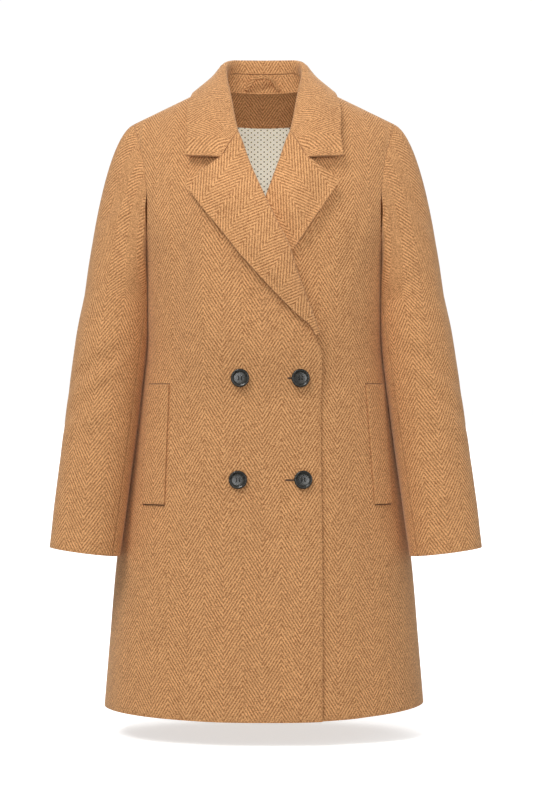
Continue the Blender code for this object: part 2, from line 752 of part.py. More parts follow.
def lapel_grid(lift, mirror, free):
    """The face between a lapel's two layers: a row for each place along the roll line."""
    rolls = column(LAPEL_COLUMNS, LAPEL, "roll_height")
    own = np.linspace(0, 1, len(LAPEL))
    rows = []
    for share in np.linspace(0, 1, LAPEL_ROWS):
        z_roll = float(np.interp(share, own, rolls))
        x_edge = float(smooth(share, own, column(LAPEL_COLUMNS, LAPEL, "edge_x")))
        z_edge = float(smooth(share, own, column(LAPEL_COLUMNS, LAPEL, "edge_height")))
        roll = np.array([float(front_edge_x(z_roll)), z_roll])
        edge = np.array([x_edge, z_edge])
        if mirror:
            edge = roll + (edge - roll) * LEFT_LAPEL_WIDTH
            roll[0] = -roll[0] + 2 * float(centre_front(roll[1]))
            edge[0] = -edge[0] + 2 * float(centre_front(edge[1]))
        span = edge - roll
        width = float(np.linalg.norm(span))
        across, height, swell = lapel_section(width, float(lapel_radius(z_roll)))
        line = roll + span / width * across[:, None]
        if share < NOTCH_FADE:
            at_notch = across[BEND_STEPS + NOTCH_STEP - 1] / width
            reach = np.interp(across / width, (0, at_notch, 1), (0, 1, 0))
            corner = np.array(NOTCH) * (-1 if mirror else 1, 1) - (roll + span * at_notch)
            line += corner * reach[:, None] * (1 - share / NOTCH_FADE)
        x, z = line.T
        rows.append(front_point(x, z, height + swell * free(x, z) + lift(x, z)))
    return np.array(rows)


def add_lapels(cloth):
    half_gap = SEAM_GAP / 2
    sides = (
        ("right", front_lift, False, free_on_top),
        ("left", no_lift, True, free_underneath),
    )
    for side, lift, mirror, free in sides:
        grid = lapel_grid(lift, mirror, free)
        out = (0, -1, 0)
        add_cloth(f"facing_{side}", grid, out, half_gap + LAPEL_LAYER, LAPEL_LAYER, cloth)
        add_cloth(f"turnback_{side}", grid, out, -half_gap, LAPEL_LAYER, cloth)


# ---------------------------------------------------------------- collar


def gorge_station():
    """The collar's last station: along the gorge seam to the notch, then to the collar point."""
    z_roll = LAPEL[0][LAPEL_COLUMNS.index("roll_height")]
    roll = np.array([float(front_edge_x(z_roll)), z_roll])
    notch, point = np.array(NOTCH), np.array(COLLAR_POINT) * (-1, 1)
    span = notch - roll
    width = float(np.linalg.norm(span))
    radius = float(lapel_radius(z_roll))
    turn = np.linspace(-math.pi / 2, math.pi / 2, BEND_STEPS)
    across = radius * (1 - np.cos(turn))
    height = -WALL + radius * (1 + np.sin(turn))
    run = np.linspace(0, 1, NOTCH_STEP + 1)[1:]
    across = np.concatenate([across, radius + (width - radius) * run])
    at = roll + span / width * across[:, None]
    beyond = np.linspace(0, 1, COLLAR_STEPS - NOTCH_STEP + 1)[1:, None]
    at = np.concatenate([at, notch + (point - notch) * beyond])
    at_notch = NOTCH_STEP / LAPEL_STEPS
    share = np.concatenate([at_notch * run, at_notch + (1 - at_notch) * beyond[:, 0]])
    swell = np.concatenate([np.zeros(BEND_STEPS), free_swell(share)])
    height = np.concatenate([height, np.full(COLLAR_STEPS, height[-1])]) + swell
    points = front_point(at[:, 0], at[:, 1], height)
    points[:, 0] *= -1
    return points


def back_station(row):
    """A collar station away from the gorge: up the stand side, over the roll, down the fall."""
    seam, roll, fall, edge = (np.array(part) for part in row)
    up_inside = (seam - roll) / np.linalg.norm(seam - roll)
    down_outside = (fall - roll) / np.linalg.norm(fall - roll)
    apart = (down_outside - up_inside) / np.linalg.norm(down_outside - up_inside)
    inner = roll + up_inside * COLLAR_BEND - apart * COLLAR_BEND_SPREAD
    outer = roll + down_outside * COLLAR_BEND + apart * COLLAR_BEND_SPREAD
    bend = curve_through([seam, inner, roll, outer], BEND_STEPS + 1)[:-1]
    fall_side = curve_through([outer, fall, edge], COLLAR_STEPS)
    return np.concatenate([bend, fall_side])


def collar_stations():
    """The wearer's left half of the fall, from the middle of the back to the gorge."""
    rows = [back_station(row) for row in COLLAR]
    rows.append(gorge_station())
    return np.array(rows)


def collar_grid():
    """The fall's middle face, a row from its seam to its edge and a column round the neck."""
    half = collar_stations()
    mirror = np.array([-1, 1, 1])
    whole = np.concatenate([(half[1:] * mirror)[::-1], half])
    grid = np.array([curve_through(whole[:, i], COLLAR_COLUMNS_ROUND) for i in range(whole.shape[1])])
    for end, before in ((0, 1), (-1, -2)):
        back = grid[:, before] - grid[:, end]
        grid[:, end] += back / np.linalg.norm(back, axis=1, keepdims=True) * GORGE_GAP
    return grid


def neck_seam():
    """The neck seam on the body's outer face, from the middle of the back to the left gorge."""
    points = []
    for x in NECK_BACK_X:
        z = float(back_top(x))
        points.append((x, float(body_y(x, z, 1)) - WALL / 2, z - WALL / 3))
    points.append((NECK_HALF_WIDTH, 0.0, NECK_POINT_HEIGHT - WALL / 2))
    for z in NECK_FRONT_HEIGHTS:
        points.append(front_point(-float(front_edge_x(z)), z, -WALL / 2))
    return np.array(points)


def stand_grid():
    """The stand, from the neck seam up to its seam with the fall, all round the neck."""
    low = neck_seam()
    high = np.array([row[0] for row in COLLAR] + [gorge_station()[0]])
    mirror = np.array([-1, 1, 1])
    lows = np.concatenate([(low[1:] * mirror)[::-1], low])
    highs = np.concatenate([(high[1:] * mirror)[::-1], high])
    lows = curve_through(lows, COLLAR_COLUMNS_ROUND)[STAND_INSET:-STAND_INSET]
    highs = curve_through(highs, COLLAR_COLUMNS_ROUND)[STAND_INSET:-STAND_INSET]
    up = (highs - lows) / np.linalg.norm(highs - lows, axis=1, keepdims=True)
    share = np.linspace(0, 1, STAND_ROWS)[:, None, None]
    return lerp((lows + up * NECK_SEAM_RISE)[None], (highs - up * STAND_SEAM_GAP)[None], share)


def add_collar(cloth):
    stand, fall = stand_grid(), collar_grid()
    stand_normal = grid_normals(stand, (0, -1, 0))
    fall_normal = grid_normals(fall, (0, 1, 0))
    fall_normal[0, STAND_INSET:-STAND_INSET] = stand_normal[-1]
    add_wall("collar_stand", stand + stand_normal * WALL / 2, stand - stand_normal * WALL / 2, cloth)
    add_wall("collar_fall", fall + fall_normal * COLLAR_HALF, fall - fall_normal * COLLAR_HALF, cloth)


# ---------------------------------------------------------------- inside the back


def facing_edge(x):
    """Height of the seam between the back neck facing and the lining."""
    sag = FACING_SAG * (1 - np.minimum(np.abs(x) / FACING_BOTTOM_HALF, 1) ** 2)
    return BACK_NECK_HEIGHT - BACK_FACING_DEPTH - sag


def add_inside_back(name, rows, thickness, finish):
    """A piece that hangs just inside the back, from rows of x and height."""
    inset = WALL + INSIDE_DEPTH
    outer = np.array([body_point(x, z, -inset, 1) for x, z in rows])
    inner = np.array([body_point(x, z, -inset - thickness, 1) for x, z in rows])
    add_wall(name, outer, inner, finish)


def add_back_neck_facing(cloth):
    rows = []
    for share in np.linspace(0, 1, FACING_ROWS):
        reach = lerp(FACING_BOTTOM_HALF, FACING_TOP_HALF, share)
        x = np.linspace(-reach, reach, LINING_COLUMNS)
        rows.append((x, lerp(facing_edge(x), back_top(x) - FACING_BELOW_SEAM, share)))
    add_inside_back("back_neck_facing", rows, FACING_WALL, cloth)


def add_back_lining(lining):
    """The back lining, from the facing to a little above the hem."""
    rows = []
    for z in np.linspace(HEM + LINING_ABOVE_HEM, LINING_TOP, LINING_ROWS):
        width = float(half_width(z))
        reach = width if z < ARMPIT else float(armhole_x(z, 1))
        x = across_panel(LINING_SIDE_GAP - reach, reach - LINING_SIDE_GAP, width, LINING_COLUMNS)
        top = np.minimum(facing_edge(x) - FACING_SEAM_GAP, shoulder_ridge(x) - LINING_BELOW_SHOULDER)
        share = np.clip((z - LINING_LEVEL) / (LINING_TOP - LINING_LEVEL), 0, 1)
        rows.append((x, lerp(np.minimum(z, LINING_LEVEL), top, share)))
    add_inside_back("back_lining", rows, LINING_WALL, lining)


def add_hanger_loop(cloth):
    """A narrow strip of cloth that bows off the stand, sewn down at both ends."""
    path = curve_through(np.array(LOOP), 15)
    x, z, off = path.T
    neck_y = body_y(x, np.minimum(z, back_top(x)), 1) - WALL / 2
    y = neck_y - WALL / 2 - off
    middle = np.stack([x, y, z], axis=1)
    along = np.gradient(middle, axis=0)
    along /= np.linalg.norm(along, axis=1, keepdims=True)
    across = np.cross(along, (0.0, 1.0, 0.0))
    across /= np.linalg.norm(across, axis=1, keepdims=True)
    share = np.linspace(-0.5, 0.5, 3)[None, :, None]
    grid = middle[:, None] + across[:, None] * LOOP_WIDTH * share
    add_cloth("hanger_loop", grid, (0, -1, 0), LOOP_WALL, LOOP_WALL, cloth)


# ---------------------------------------------------------------- pockets and buttons


def add_pocket_welts(cloth):
    for name, inner_top, outer_top, inner_bottom, outer_bottom in WELTS:
        lift = front_lift if inner_top < 0 else no_lift
        lines = []
        for share in np.linspace(0, 1, WELT_ROWS):
            z = lerp(WELT_BOTTOM, WELT_TOP, share)
            x = lerp(lerp(inner_bottom, inner_top, share), lerp(outer_bottom, outer_top, share),
                     np.linspace(0, 1, WELT_COLUMNS_ACROSS))
            out = lift(x, z) + LAYER_GAP
            lines.append(front_point(x, np.full_like(x, z), out))
        add_cloth(name, np.array(lines), (0, -1, 0), WELT_WALL, WELT_WALL, cloth)


def turned(profile, steps):
    """A mesh turned about its own Z from radius and height pairs that start and end on the axis."""
    mesh = bmesh.new()
    rings = []
    for radius, height in profile:
        if radius == 0:
            rings.append([mesh.verts.new((0, 0, height))])
            continue
        angles = np.linspace(0, 2 * math.pi, steps, endpoint=False)
        rings.append([mesh.verts.new((radius * math.cos(a), radius * math.sin(a), height)) for a in angles])
    for low, high in zip(rings, rings[1:]):
        for i in range(steps):
            j = (i + 1) % steps
            corners = [low[i % len(low)], low[j % len(low)], high[j % len(high)], high[i % len(high)]]
            mesh.faces.new(list(dict.fromkeys(corners)))
    bmesh.ops.recalc_face_normals(mesh, faces=mesh.faces)
    return mesh


def add_buttons(horn):
    """Four-hole buttons with a raised rim, a dished middle and a short neck of thread behind."""
    front = [(BUTTON_RADIUS * across, BUTTON_THICK * up) for across, up in BUTTON_FACE]
    profile = [(0, -SHANK), (SHANK_RADIUS, -SHANK), (SHANK_RADIUS, 0.0)] + front
    for name, x, z in BUTTONS:
        mesh = bpy.data.meshes.new(name)
        shape = turned(profile, BUTTON_SIDES)
        shape.to_mesh(mesh)
        shape.free()
        mesh.shade_smooth()
        mesh.set_sharp_from_angle(angle=math.radians(50))
        mesh.materials.append(horn)
        button = bpy.data.objects.new(name, mesh)
        bpy.context.scene.collection.objects.link(button)
        lift = float(front_lift(x, z))
        seat = front_point(x, z, lift + SHANK + LAYER_GAP)
        facing_out = seat - front_point(x, z, lift)
        button.location = seat
        button.rotation_euler = Vector(facing_out).to_track_quat("Z", "Y").to_euler()
        add_button_holes(button)


def add_button_holes(button):
    """Four thread holes part way through, two beside two."""
    for across in (-1, 1):
        for up in (-1, 1):
            bpy.ops.mesh.primitive_cylinder_add(vertices=8, radius=HOLE_RADIUS, depth=BUTTON_THICK)
            cutter = bpy.context.object
            cutter.name = f"cut_{button.name}_{across}_{up}"
            cutter.parent = button
            cutter.location = (across * HOLE_SPACING, up * HOLE_SPACING, HOLE_FLOOR + BUTTON_THICK / 2)
            cutter.hide_render = True
            cutter.display_type = "WIRE"
            hole = button.modifiers.new("hole", "BOOLEAN")
            hole.operation = "DIFFERENCE"
            hole.solver = "EXACT"
            hole.object = cutter


# ---------------------------------------------------------------- the whole coat


def main():
    for old in list(bpy.data.objects):
        bpy.data.objects.remove(old, do_unlink=True)
    cloth = fabric("camel_wool", CAMEL, 0.9)
    add_back(cloth)
    add_fronts(cloth)
    add_sleeves(cloth)
    add_lapels(cloth)
    add_collar(cloth)
    add_back_neck_facing(cloth)
    add_back_lining(fabric("dotted_lining", LINING_CREAM, 0.6))
    add_hanger_loop(cloth)
    add_pocket_welts(cloth)
    add_buttons(fabric("horn", HORN, 0.3))


main()
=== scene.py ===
"""Looks of the double-breasted overcoat: shaped cloth, herringbone, lining, buttons, light and camera.

Metres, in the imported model's frame: the front faces -Y, the wearer's left is +X, and the origin is
the middle of the neck. Each cloth piece is a closed thin shell over a grid of points from the
section tables, and carries its flat cut as UV in metres, which the weave follows.
"""

import math

import bmesh
import bpy
import numpy as np
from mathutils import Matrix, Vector


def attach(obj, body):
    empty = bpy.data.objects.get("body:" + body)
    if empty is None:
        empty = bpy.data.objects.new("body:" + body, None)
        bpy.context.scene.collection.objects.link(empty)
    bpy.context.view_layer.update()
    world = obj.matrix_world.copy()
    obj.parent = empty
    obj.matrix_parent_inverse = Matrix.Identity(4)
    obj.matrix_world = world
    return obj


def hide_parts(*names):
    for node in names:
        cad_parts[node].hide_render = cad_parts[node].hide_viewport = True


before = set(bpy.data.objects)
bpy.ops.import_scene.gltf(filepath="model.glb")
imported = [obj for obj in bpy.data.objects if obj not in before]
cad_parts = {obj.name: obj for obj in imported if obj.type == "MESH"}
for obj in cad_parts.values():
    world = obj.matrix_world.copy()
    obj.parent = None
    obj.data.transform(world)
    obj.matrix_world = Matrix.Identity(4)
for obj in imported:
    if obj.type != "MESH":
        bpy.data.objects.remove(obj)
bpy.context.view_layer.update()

# ---------------------------------------------------------------- driving sizes

WALL = 0.0025  # coat cloth
LAPEL_LAYER = 0.0020  # each of the two layers of a lapel
LINING_WALL = 0.0010
SEAM_GAP = 0.0003  # between pieces that are sewn together
LAYER_GAP = 0.0005  # between pieces that lie on each other

HEM = -0.909  # at the middle
HEM_RISE_RIGHT = 0.0065  # toward the right side seam
HEM_RISE_LEFT = 0.0115
NECK_HALF_WIDTH = 0.078  # neck point of the shoulder seam, from the middle
NECK_POINT_HEIGHT = 0.020
SHOULDER_HALF_WIDTH = 0.195
SHOULDER_SLOPE = 0.484  # drop per metre outward
NECK_RISE = 0.016  # how far the shoulder ridge rises between the neck points
BACK_NECK_HEIGHT = 0.017
ARMPIT = -0.235

# Roundness of the body's sections, and of the way that front and back roll over the shoulder.
SECTION_POWER = 2.3
FRONT_ROLL_DEPTH = 0.20
FRONT_ROLL_POWER = 1.7
BACK_ROLL_DEPTH = 0.14
BACK_ROLL_POWER = 2.0

BODY_COLUMNS = ("height", "half_width", "front_depth", "back_depth")
BODY_SECTIONS = (
    (-0.912, 0.2388, 0.150, 0.148),  # hem
    (-0.800, 0.2296, 0.146, 0.143),
    (-0.690, 0.2202, 0.142, 0.137),  # hip
    (-0.540, 0.1990, 0.137, 0.124),
    (-0.450, 0.1870, 0.133, 0.112),
    (-0.360, 0.1770, 0.130, 0.105),  # waist
    (-0.290, 0.1785, 0.130, 0.107),
    (-0.235, 0.1830, 0.130, 0.110),  # armpit
    (-0.200, 0.1900, 0.128, 0.111),
    (-0.165, 0.1960, 0.125, 0.111),
    (-0.100, 0.2020, 0.120, 0.110),
    (-0.040, 0.2060, 0.118, 0.108),
    (0.040, 0.2060, 0.118, 0.108),
)

# Armhole seen from the front: distance from the middle at each height.
ARMHOLE_COLUMNS = ("height", "front_x", "back_x")
ARMHOLE = (
    (-0.235, 0.1830, 0.1830),
    (-0.226, 0.1762, 0.1775),
    (-0.205, 0.1722, 0.1740),
    (-0.165, 0.1712, 0.1730),
    (-0.130, 0.1735, 0.1745),
    (-0.095, 0.1785, 0.1790),
    (-0.062, 0.1870, 0.1870),
    (-0.0366, 0.1950, 0.1950),
)

# Right front: free edge from the hem up to where the lapel breaks, then the roll line to the
# collar, then the neck seam to the neck point.
FRONT_EDGE_COLUMNS = ("height", "edge_x")
FRONT_EDGE = (
    (-0.912, 0.0829),
    (-0.700, 0.0830),
    (-0.500, 0.0808),
    (-0.400, 0.0806),
    (-0.366, 0.0765),
    (-0.336, 0.0687),
    (-0.299, 0.0555),
    (-0.260, 0.0425),
    (-0.232, 0.0345),
    (-0.195, 0.0168),
    (-0.157, -0.0012),
    (-0.102, -0.0236),
    (-0.062, -0.0380),
    (-0.040, -0.0580),
    (-0.015, -0.0720),
    (0.004, -0.0770),
    (0.020, -0.0780),
)
CENTRE_SHIFT = 0.009
CENTRE_SHIFT_LOW = -0.37
CENTRE_SHIFT_HIGH = -0.09
MIRROR_FADE_FROM = 0.10
MIRROR_FADE_TO = 0.16

# The right front rests on the left lapel at the chest and on the left front below it.
OVER_LAPEL = 0.0160
OVER_FRONT = 0.0046
OVERLAP_START = -0.135
OVERLAP_FULL = -0.066
OVER_LAPEL_LOW = -0.46
OVER_LAPEL_HIGH = -0.36
LIFT_ENDS_LOW = -0.172
LIFT_ENDS_HIGH = -0.105

ROWS_BELOW = 64
ROWS_ABOVE = 40
FRONT_COLUMNS = 61
BACK_COLUMNS = 85

# Left sleeve: rings square to an axis that leans out, by their depth below the neck.
SLEEVE_LEAN = 7.3
CAP_ENDS = -0.300
CUFF = -0.670
CAP_FULLNESS = 0.52
CAP_FALL = 0.76
SLEEVE_CLEARANCE = 0.0006
CUFF_DRIFT = 0.0025  # both cuffs hang this much toward the wearer's left
UNDERARM_COSINE = 0.55  # how far round the armhole the sleeve lies on the body
SLEEVE_COLUMNS = ("below", "centre_x", "centre_y", "half_width", "half_depth")
SLEEVE = (
    (0.300, 0.2156, -0.014, 0.0522, 0.0600),
    (0.360, 0.2250, -0.026, 0.0542, 0.0575),
    (0.449, 0.2366, -0.040, 0.0541, 0.0530),
    (0.538, 0.2482, -0.054, 0.0535, 0.0485),
    (0.610, 0.2572, -0.064, 0.0530, 0.0450),
    (0.670, 0.2643, -0.072, 0.0521, 0.0425),
)
CAP_ROWS = 24
SLEEVE_ROWS = 60
FRONT_SEAM_STEP = 32  # seams of the two-piece sleeve, in armhole steps from the shoulder
BACK_SEAM_STEP = 52
SLEEVE_SEAM_TURN = 0.9  # degrees that each piece stops short of a seam

# Lapel of the right front, seen from the front: points of its roll line and of its free edge.
# The roll starts at the collar, and the last row is where the lapel narrows to the break.
LAPEL_COLUMNS = ("roll_height", "edge_x", "edge_height")
LAPEL = (
    (-0.062, -0.1074, -0.1400),
    (-0.102, -0.1040, -0.1470),
    (-0.157, -0.0700, -0.1915),
    (-0.195, -0.0390, -0.2322),
    (-0.232, -0.0075, -0.2700),
    (-0.262, 0.0220, -0.3025),
    (-0.299, 0.0460, -0.3275),
    (-0.330, 0.0618, -0.3420),
    (-0.352, 0.0700, -0.3570),
)
NOTCH = (-0.0588, -0.1040)  # x and height of the inner corner between collar and lapel
NOTCH_STEP = 16  # where it lies along the lapel's top row
NOTCH_FADE = 0.12
FOLD_ENDS = -0.352
FOLD_CLEARANCE = 0.0016  # between a front panel and the lapel folded over its end
ROLL_RADIUS = 0.0034
ROLL_RADIUS_AT_COLLAR = 0.0045
LAPEL_ROWS = 61
BEND_STEPS = 13
LAPEL_STEPS = 36
LAPEL_SWELL = 0.006
LAPEL_EDGE_STAND = 0.0065
LEFT_LAPEL_WIDTH = 0.92

# Collar stations from the middle of the back round to the wearer's left gorge, each with its
# seam to the stand, the top of the roll, the middle of the fall and the fall's free edge.
COLLAR = (
    ((0.000, 0.0545, 0.0465), (0.000, 0.0610, 0.0668),
     (0.000, 0.0790, 0.0450), (0.000, 0.0860, 0.0150)),
    ((0.030, 0.0520, 0.0465), (0.031, 0.0570, 0.0664),
     (0.038, 0.0745, 0.0450), (0.044, 0.0815, 0.0140)),
    ((0.048, 0.0420, 0.0455), (0.049, 0.0440, 0.0640),
     (0.064, 0.0560, 0.0455), (0.080, 0.0640, 0.0160)),
    ((0.0590, 0.0250, 0.0360), (0.0580, 0.0225, 0.0560),
     (0.0805, 0.0290, 0.0335), (0.0995, 0.0340, 0.0140)),
    ((0.0625, 0.0030, 0.0200), (0.0570, -0.0040, 0.0340),
     (0.0840, -0.0130, 0.0220), (0.1060, -0.0150, 0.0062)),
    ((0.0580, -0.0290, -0.0060), (0.0505, -0.0410, 0.0010),
     (0.0805, -0.0570, -0.0110), (0.1125, -0.0520, -0.0230)),
    ((0.0490, -0.0640, -0.0370), (0.0440, -0.0780, -0.0380),
     (0.0730, -0.0910, -0.0500), (0.1110, -0.0800, -0.0570)),
)
COLLAR_HALF = 0.0020  # half the fall's thickness
COLLAR_POINT = (0.1100, -0.0985)
COLLAR_BEND = 0.006  # from the top of the roll down either side of it
COLLAR_BEND_SPREAD = 0.0025
COLLAR_COLUMNS_ROUND = 121
COLLAR_STEPS = 32
NECK_BACK_X = (0.0, 0.030, 0.054, 0.070)
NECK_FRONT_HEIGHTS = (0.000, -0.030, -0.052)
GORGE_GAP = 0.0008  # the fall's ends stop this short of the lapels
STAND_INSET = 16  # columns that the stand stops short of each gorge
STAND_ROWS = 9
STAND_SEAM_GAP = 0.0003
NECK_SEAM_RISE = 0.0004

BACK_FACING_DEPTH = 0.038
FACING_WALL = 0.0020
FACING_TOP_HALF = 0.066
FACING_BOTTOM_HALF = 0.088
FACING_OVER_SEAM = 0.0016
FACING_TOP_DEPTH = 0.0010  # in from the back's outer face, where the facing meets the stand
LINING_ABOVE_HEM = 0.030
LINING_TOP = -0.030
LINING_SIDE_GAP = 0.010
LINING_BELOW_SHOULDER = 0.020
LINING_LEVEL = -0.160  # below this the lining's rows are level
INSIDE_DEPTH = 0.0030  # from the back's inner face in to its facing and lining
FACING_SAG = 0.008
FACING_ROWS = 13
LINING_ROWS = 60
LINING_COLUMNS = 61

# Hanger loop, along the inside of the stand: x, height, and how far it stands off.
LOOP = (
    (-0.0275, 0.0215, 0.0008),
    (-0.0200, 0.0325, 0.0040),
    (-0.0120, 0.0400, 0.0065),
    (0.0070, 0.0403, 0.0065),
    (0.0155, 0.0330, 0.0040),
    (0.0230, 0.0205, 0.0008),
)
LOOP_WIDTH = 0.0060
LOOP_WALL = 0.0018

# Welts: name, x of the inner and outer top corners, x of the inner and outer bottom corners.
WELTS = (
    ("pocket_welt_right", -0.1367, -0.1680, -0.1430, -0.1755),
    ("pocket_welt_left", 0.1470, 0.1730, 0.1600, 0.1850),
)
WELT_TOP = -0.426
WELT_BOTTOM = -0.600
WELT_WALL = 0.0030
WELT_ROWS = 60
WELT_COLUMNS_ACROSS = 12

BUTTON_RADIUS = 0.0132
BUTTON_THICK = 0.0042
SHANK = 0.0012
SHANK_RADIUS = 0.0030
HOLE_RADIUS = 0.0009
HOLE_SPACING = 0.0021  # from the button's middle, across and up
HOLE_FLOOR = 0.0008
# The button's face from the back edge to the middle: shares of its radius and of its thickness.
BUTTON_FACE = (
    (0.80, 0.00),
    (1.00, 0.45),
    (0.96, 0.85),
    (0.88, 1.00),
    (0.74, 0.82),
    (0.62, 0.62),
    (0.00, 0.56),
)
# Buttons: name, x, height.
BUTTONS = (
    ("button_upper_left", 0.0508, -0.4180),
    ("button_lower_left", 0.0553, -0.5630),
    ("button_upper_right", -0.0335, -0.4177),
    ("button_lower_right", -0.0368, -0.5630),
)

# Where the lapels' fold ends at the collar, and where each lapel swells freely.
FOLD_UNDER_COLLAR = (-0.052, -0.035)
COLLAR_ROLL = (-0.16, -0.062)
FREE_ON_TOP = (-0.352, -0.25)
FREE_UNDERNEATH = (0.006, 0.032)
# Worn cloth hangs in soft waves, from the chest on down: how close they lie, lean and sway.
HANG_FROM = 0.25
HANG_FULL = 0.85
HANG_WIDE = 21.0
HANG_SHIFT = 0.9
HANG_SWAY = 0.6
HANG_BEND = 6.0
HANG_NARROW = 47.0
HANG_NARROW_SHARE = 0.5
HANG_LEAN = 4.0
HANG_START = 1.3
# How the sleeve cap leaves the armhole, and where its creases fade.
CAP_OUT_BELOW = 0.05
CAP_OUT = 0.84
CAP_ROUND = 0.2
CAP_RISE = 0.544
CAP_BLEND_COSINE = 0.7
SLEEVE_FORWARD = 0.15
CLEARANCE_ROWS = 1.3 * CAP_ROWS / 6
CREASE_ROWS_CAP = (2, 12)
CREASE_ROWS_CUFF = (1, 5)
CREASE_COSINES = (-1.0, -0.4)
SLOPE_STEP = 0.001
SHOULDER_SECTION = 0.206

# ---------------------------------------------------------------- looks

RIM_ROUND = 0.36  # of a shell's thickness
CUT_STEPS = 25
LAPEL_GRAIN = math.radians(-35)
COLUMN_WIDTH = 0.0274  # of the herringbone
LINE_RISE = 0.0073
LINE_RUN = 0.0046
WEAVE_WANDER = 0.0012
WANDER_NOISE = (38.0, 55.0)  # across and along the cloth
FUZZ_NOISE = 1150.0
STRAND_NOISE = 560.0
PATCH_NOISE = 95.0
CLOUD_NOISE = 24.0
LINE_CLEAR = (0.46, 0.70)  # contrast of the twill lines in worn and in clear patches
FUZZ_SHARE = 0.60
STRAND_SHARE = 2.8
PATCH_SHARE = 0.35
CLOUD_SHARE = 0.10
CLOUD_SHADE = 0.62
EDGE_PLAIN = 0.75  # how far the lines fade along a piece's edges
WEAVE_DEPTH = 0.00035
LINING_CREAM = (0.93, 0.89, 0.72)
LINING_CREAM_LIGHT = (0.97, 0.94, 0.80)
LINING_DOT = (0.055, 0.07, 0.05)
LINING_THREAD = 0.0006
HORN_BLACK = (0.010, 0.010, 0.009)
HORN_BROWN = (0.045, 0.043, 0.035)
HORN_FLECK = (0.10, 0.09, 0.07)
THREAD_BLACK = (0.02, 0.02, 0.018)
THREAD_BROWN = (0.20, 0.09, 0.035)
GROUND_DIM = (0.90, 0.90, 0.90)
GROUND_WHITE = (0.92, 0.92, 0.915)
SKY_SEEN = 1.02  # brightness of the sky as the camera sees it
NECK_LIGHT_SIZE = 0.15
# Steps of the small curves and tubes.
LOOP_STEPS = 61
LOOP_COLUMNS = 9
SEAM_SIDES = 8
SEAM_STEPS = 24
BUTTON_STEPS_ROUND = 72
BUTTON_CURVE_STEPS = 49
HOLE_SIDES = 20
THREAD_STEPS = 25
BUTTONHOLE_STEPS = 96
THREAD_OVER_CLOTH = 0.0001
# how far the painted shade in a buttonhole's slit stands off the cloth
SLIT_SHADE_OVER_CLOTH = 0.00005
FACE_FRONT = (0, -1, 0)
FACE_BACK = (0, 1, 0)
BODY_SHIFT = 0.030
SLEEVE_SHIFT = 0.010
LAPEL_SHIFT = 0.005
WOOL_LIGHT = (0.90, 0.480, 0.205)
WOOL_DARK = (0.30, 0.110, 0.030)
WOOL_MEAN = (0.54, 0.26, 0.10)
DOT_STEP = 0.0100
DOT_ROW = 0.0039
DOT_RADIUS = 0.0013
LINING_PAINTED_GLOW = 0.20  # painted glow: the lining emits its own colour, to look lit where it lies in shade
THREAD_RADIUS = 0.0006
SEAM_AND_SHADE_LINE = 0.0007
# across the holes in holes' own steps, share of the button's thickness
THREAD_PATH = ((-1.0, 0.35), (-0.95, 0.62), (-0.5, 0.80), (0.5, 0.80), (0.95, 0.62), (1.0, 0.35))
BUTTONHOLES = (
    ("buttonhole_upper", 0.0335, 0.0560, -0.4178),
    ("buttonhole_lower", 0.0308, 0.0600, -0.5634),
)
BUTTONHOLE_HALF = 0.0008
BUTTONHOLE_THREAD = 0.0006

# Folds of the worn cloth: side (-1 front, 1 back), x and height of the middle, lean, half width,
# half length, and how far it stands out or falls in.
FOLDS = (
    (-1, -0.150, -0.190, -0.35, 0.011, 0.075, 0.0030),
    (-1, -0.132, -0.205, -0.35, 0.010, 0.070, -0.0026),
    (-1, 0.152, -0.195, 0.32, 0.011, 0.080, 0.0030),
    (-1, 0.134, -0.215, 0.34, 0.010, 0.070, -0.0024),
    (-1, -0.105, -0.330, 0.25, 0.014, 0.090, 0.0016),
    (-1, 0.128, -0.345, -0.22, 0.014, 0.090, 0.0018),
    (-1, -0.070, -0.520, 0.05, 0.022, 0.160, 0.0018),
    (-1, 0.010, -0.560, -0.03, 0.024, 0.170, -0.0016),
    (-1, 0.112, -0.640, -0.06, 0.020, 0.190, 0.0022),
    (-1, -0.130, -0.700, 0.08, 0.022, 0.170, 0.0024),
    (1, -0.100, -0.090, 0.90, 0.014, 0.060, 0.0034),
    (1, 0.096, -0.100, -0.85, 0.013, 0.065, 0.0036),
    (1, -0.120, -0.215, 0.55, 0.012, 0.070, 0.0042),
    (1, -0.098, -0.240, 0.55, 0.011, 0.065, -0.0034),
    (1, 0.124, -0.225, -0.50, 0.012, 0.070, 0.0044),
    (1, 0.100, -0.250, -0.52, 0.011, 0.060, -0.0034),
    (1, -0.030, -0.360, 0.10, 0.020, 0.110, -0.0040),
    (1, 0.045, -0.400, -0.08, 0.022, 0.130, 0.0040),
    (1, -0.085, -0.620, 0.06, 0.024, 0.210, 0.0062),
    (1, -0.020, -0.680, -0.02, 0.024, 0.220, -0.0056),
    (1, 0.070, -0.650, -0.05, 0.026, 0.220, 0.0060),
    (1, 0.135, -0.600, -0.04, 0.020, 0.180, -0.0044),
)
HANG_FRONT = 0.0008  # long soft waves toward the hem
HANG_BACK = 0.0018
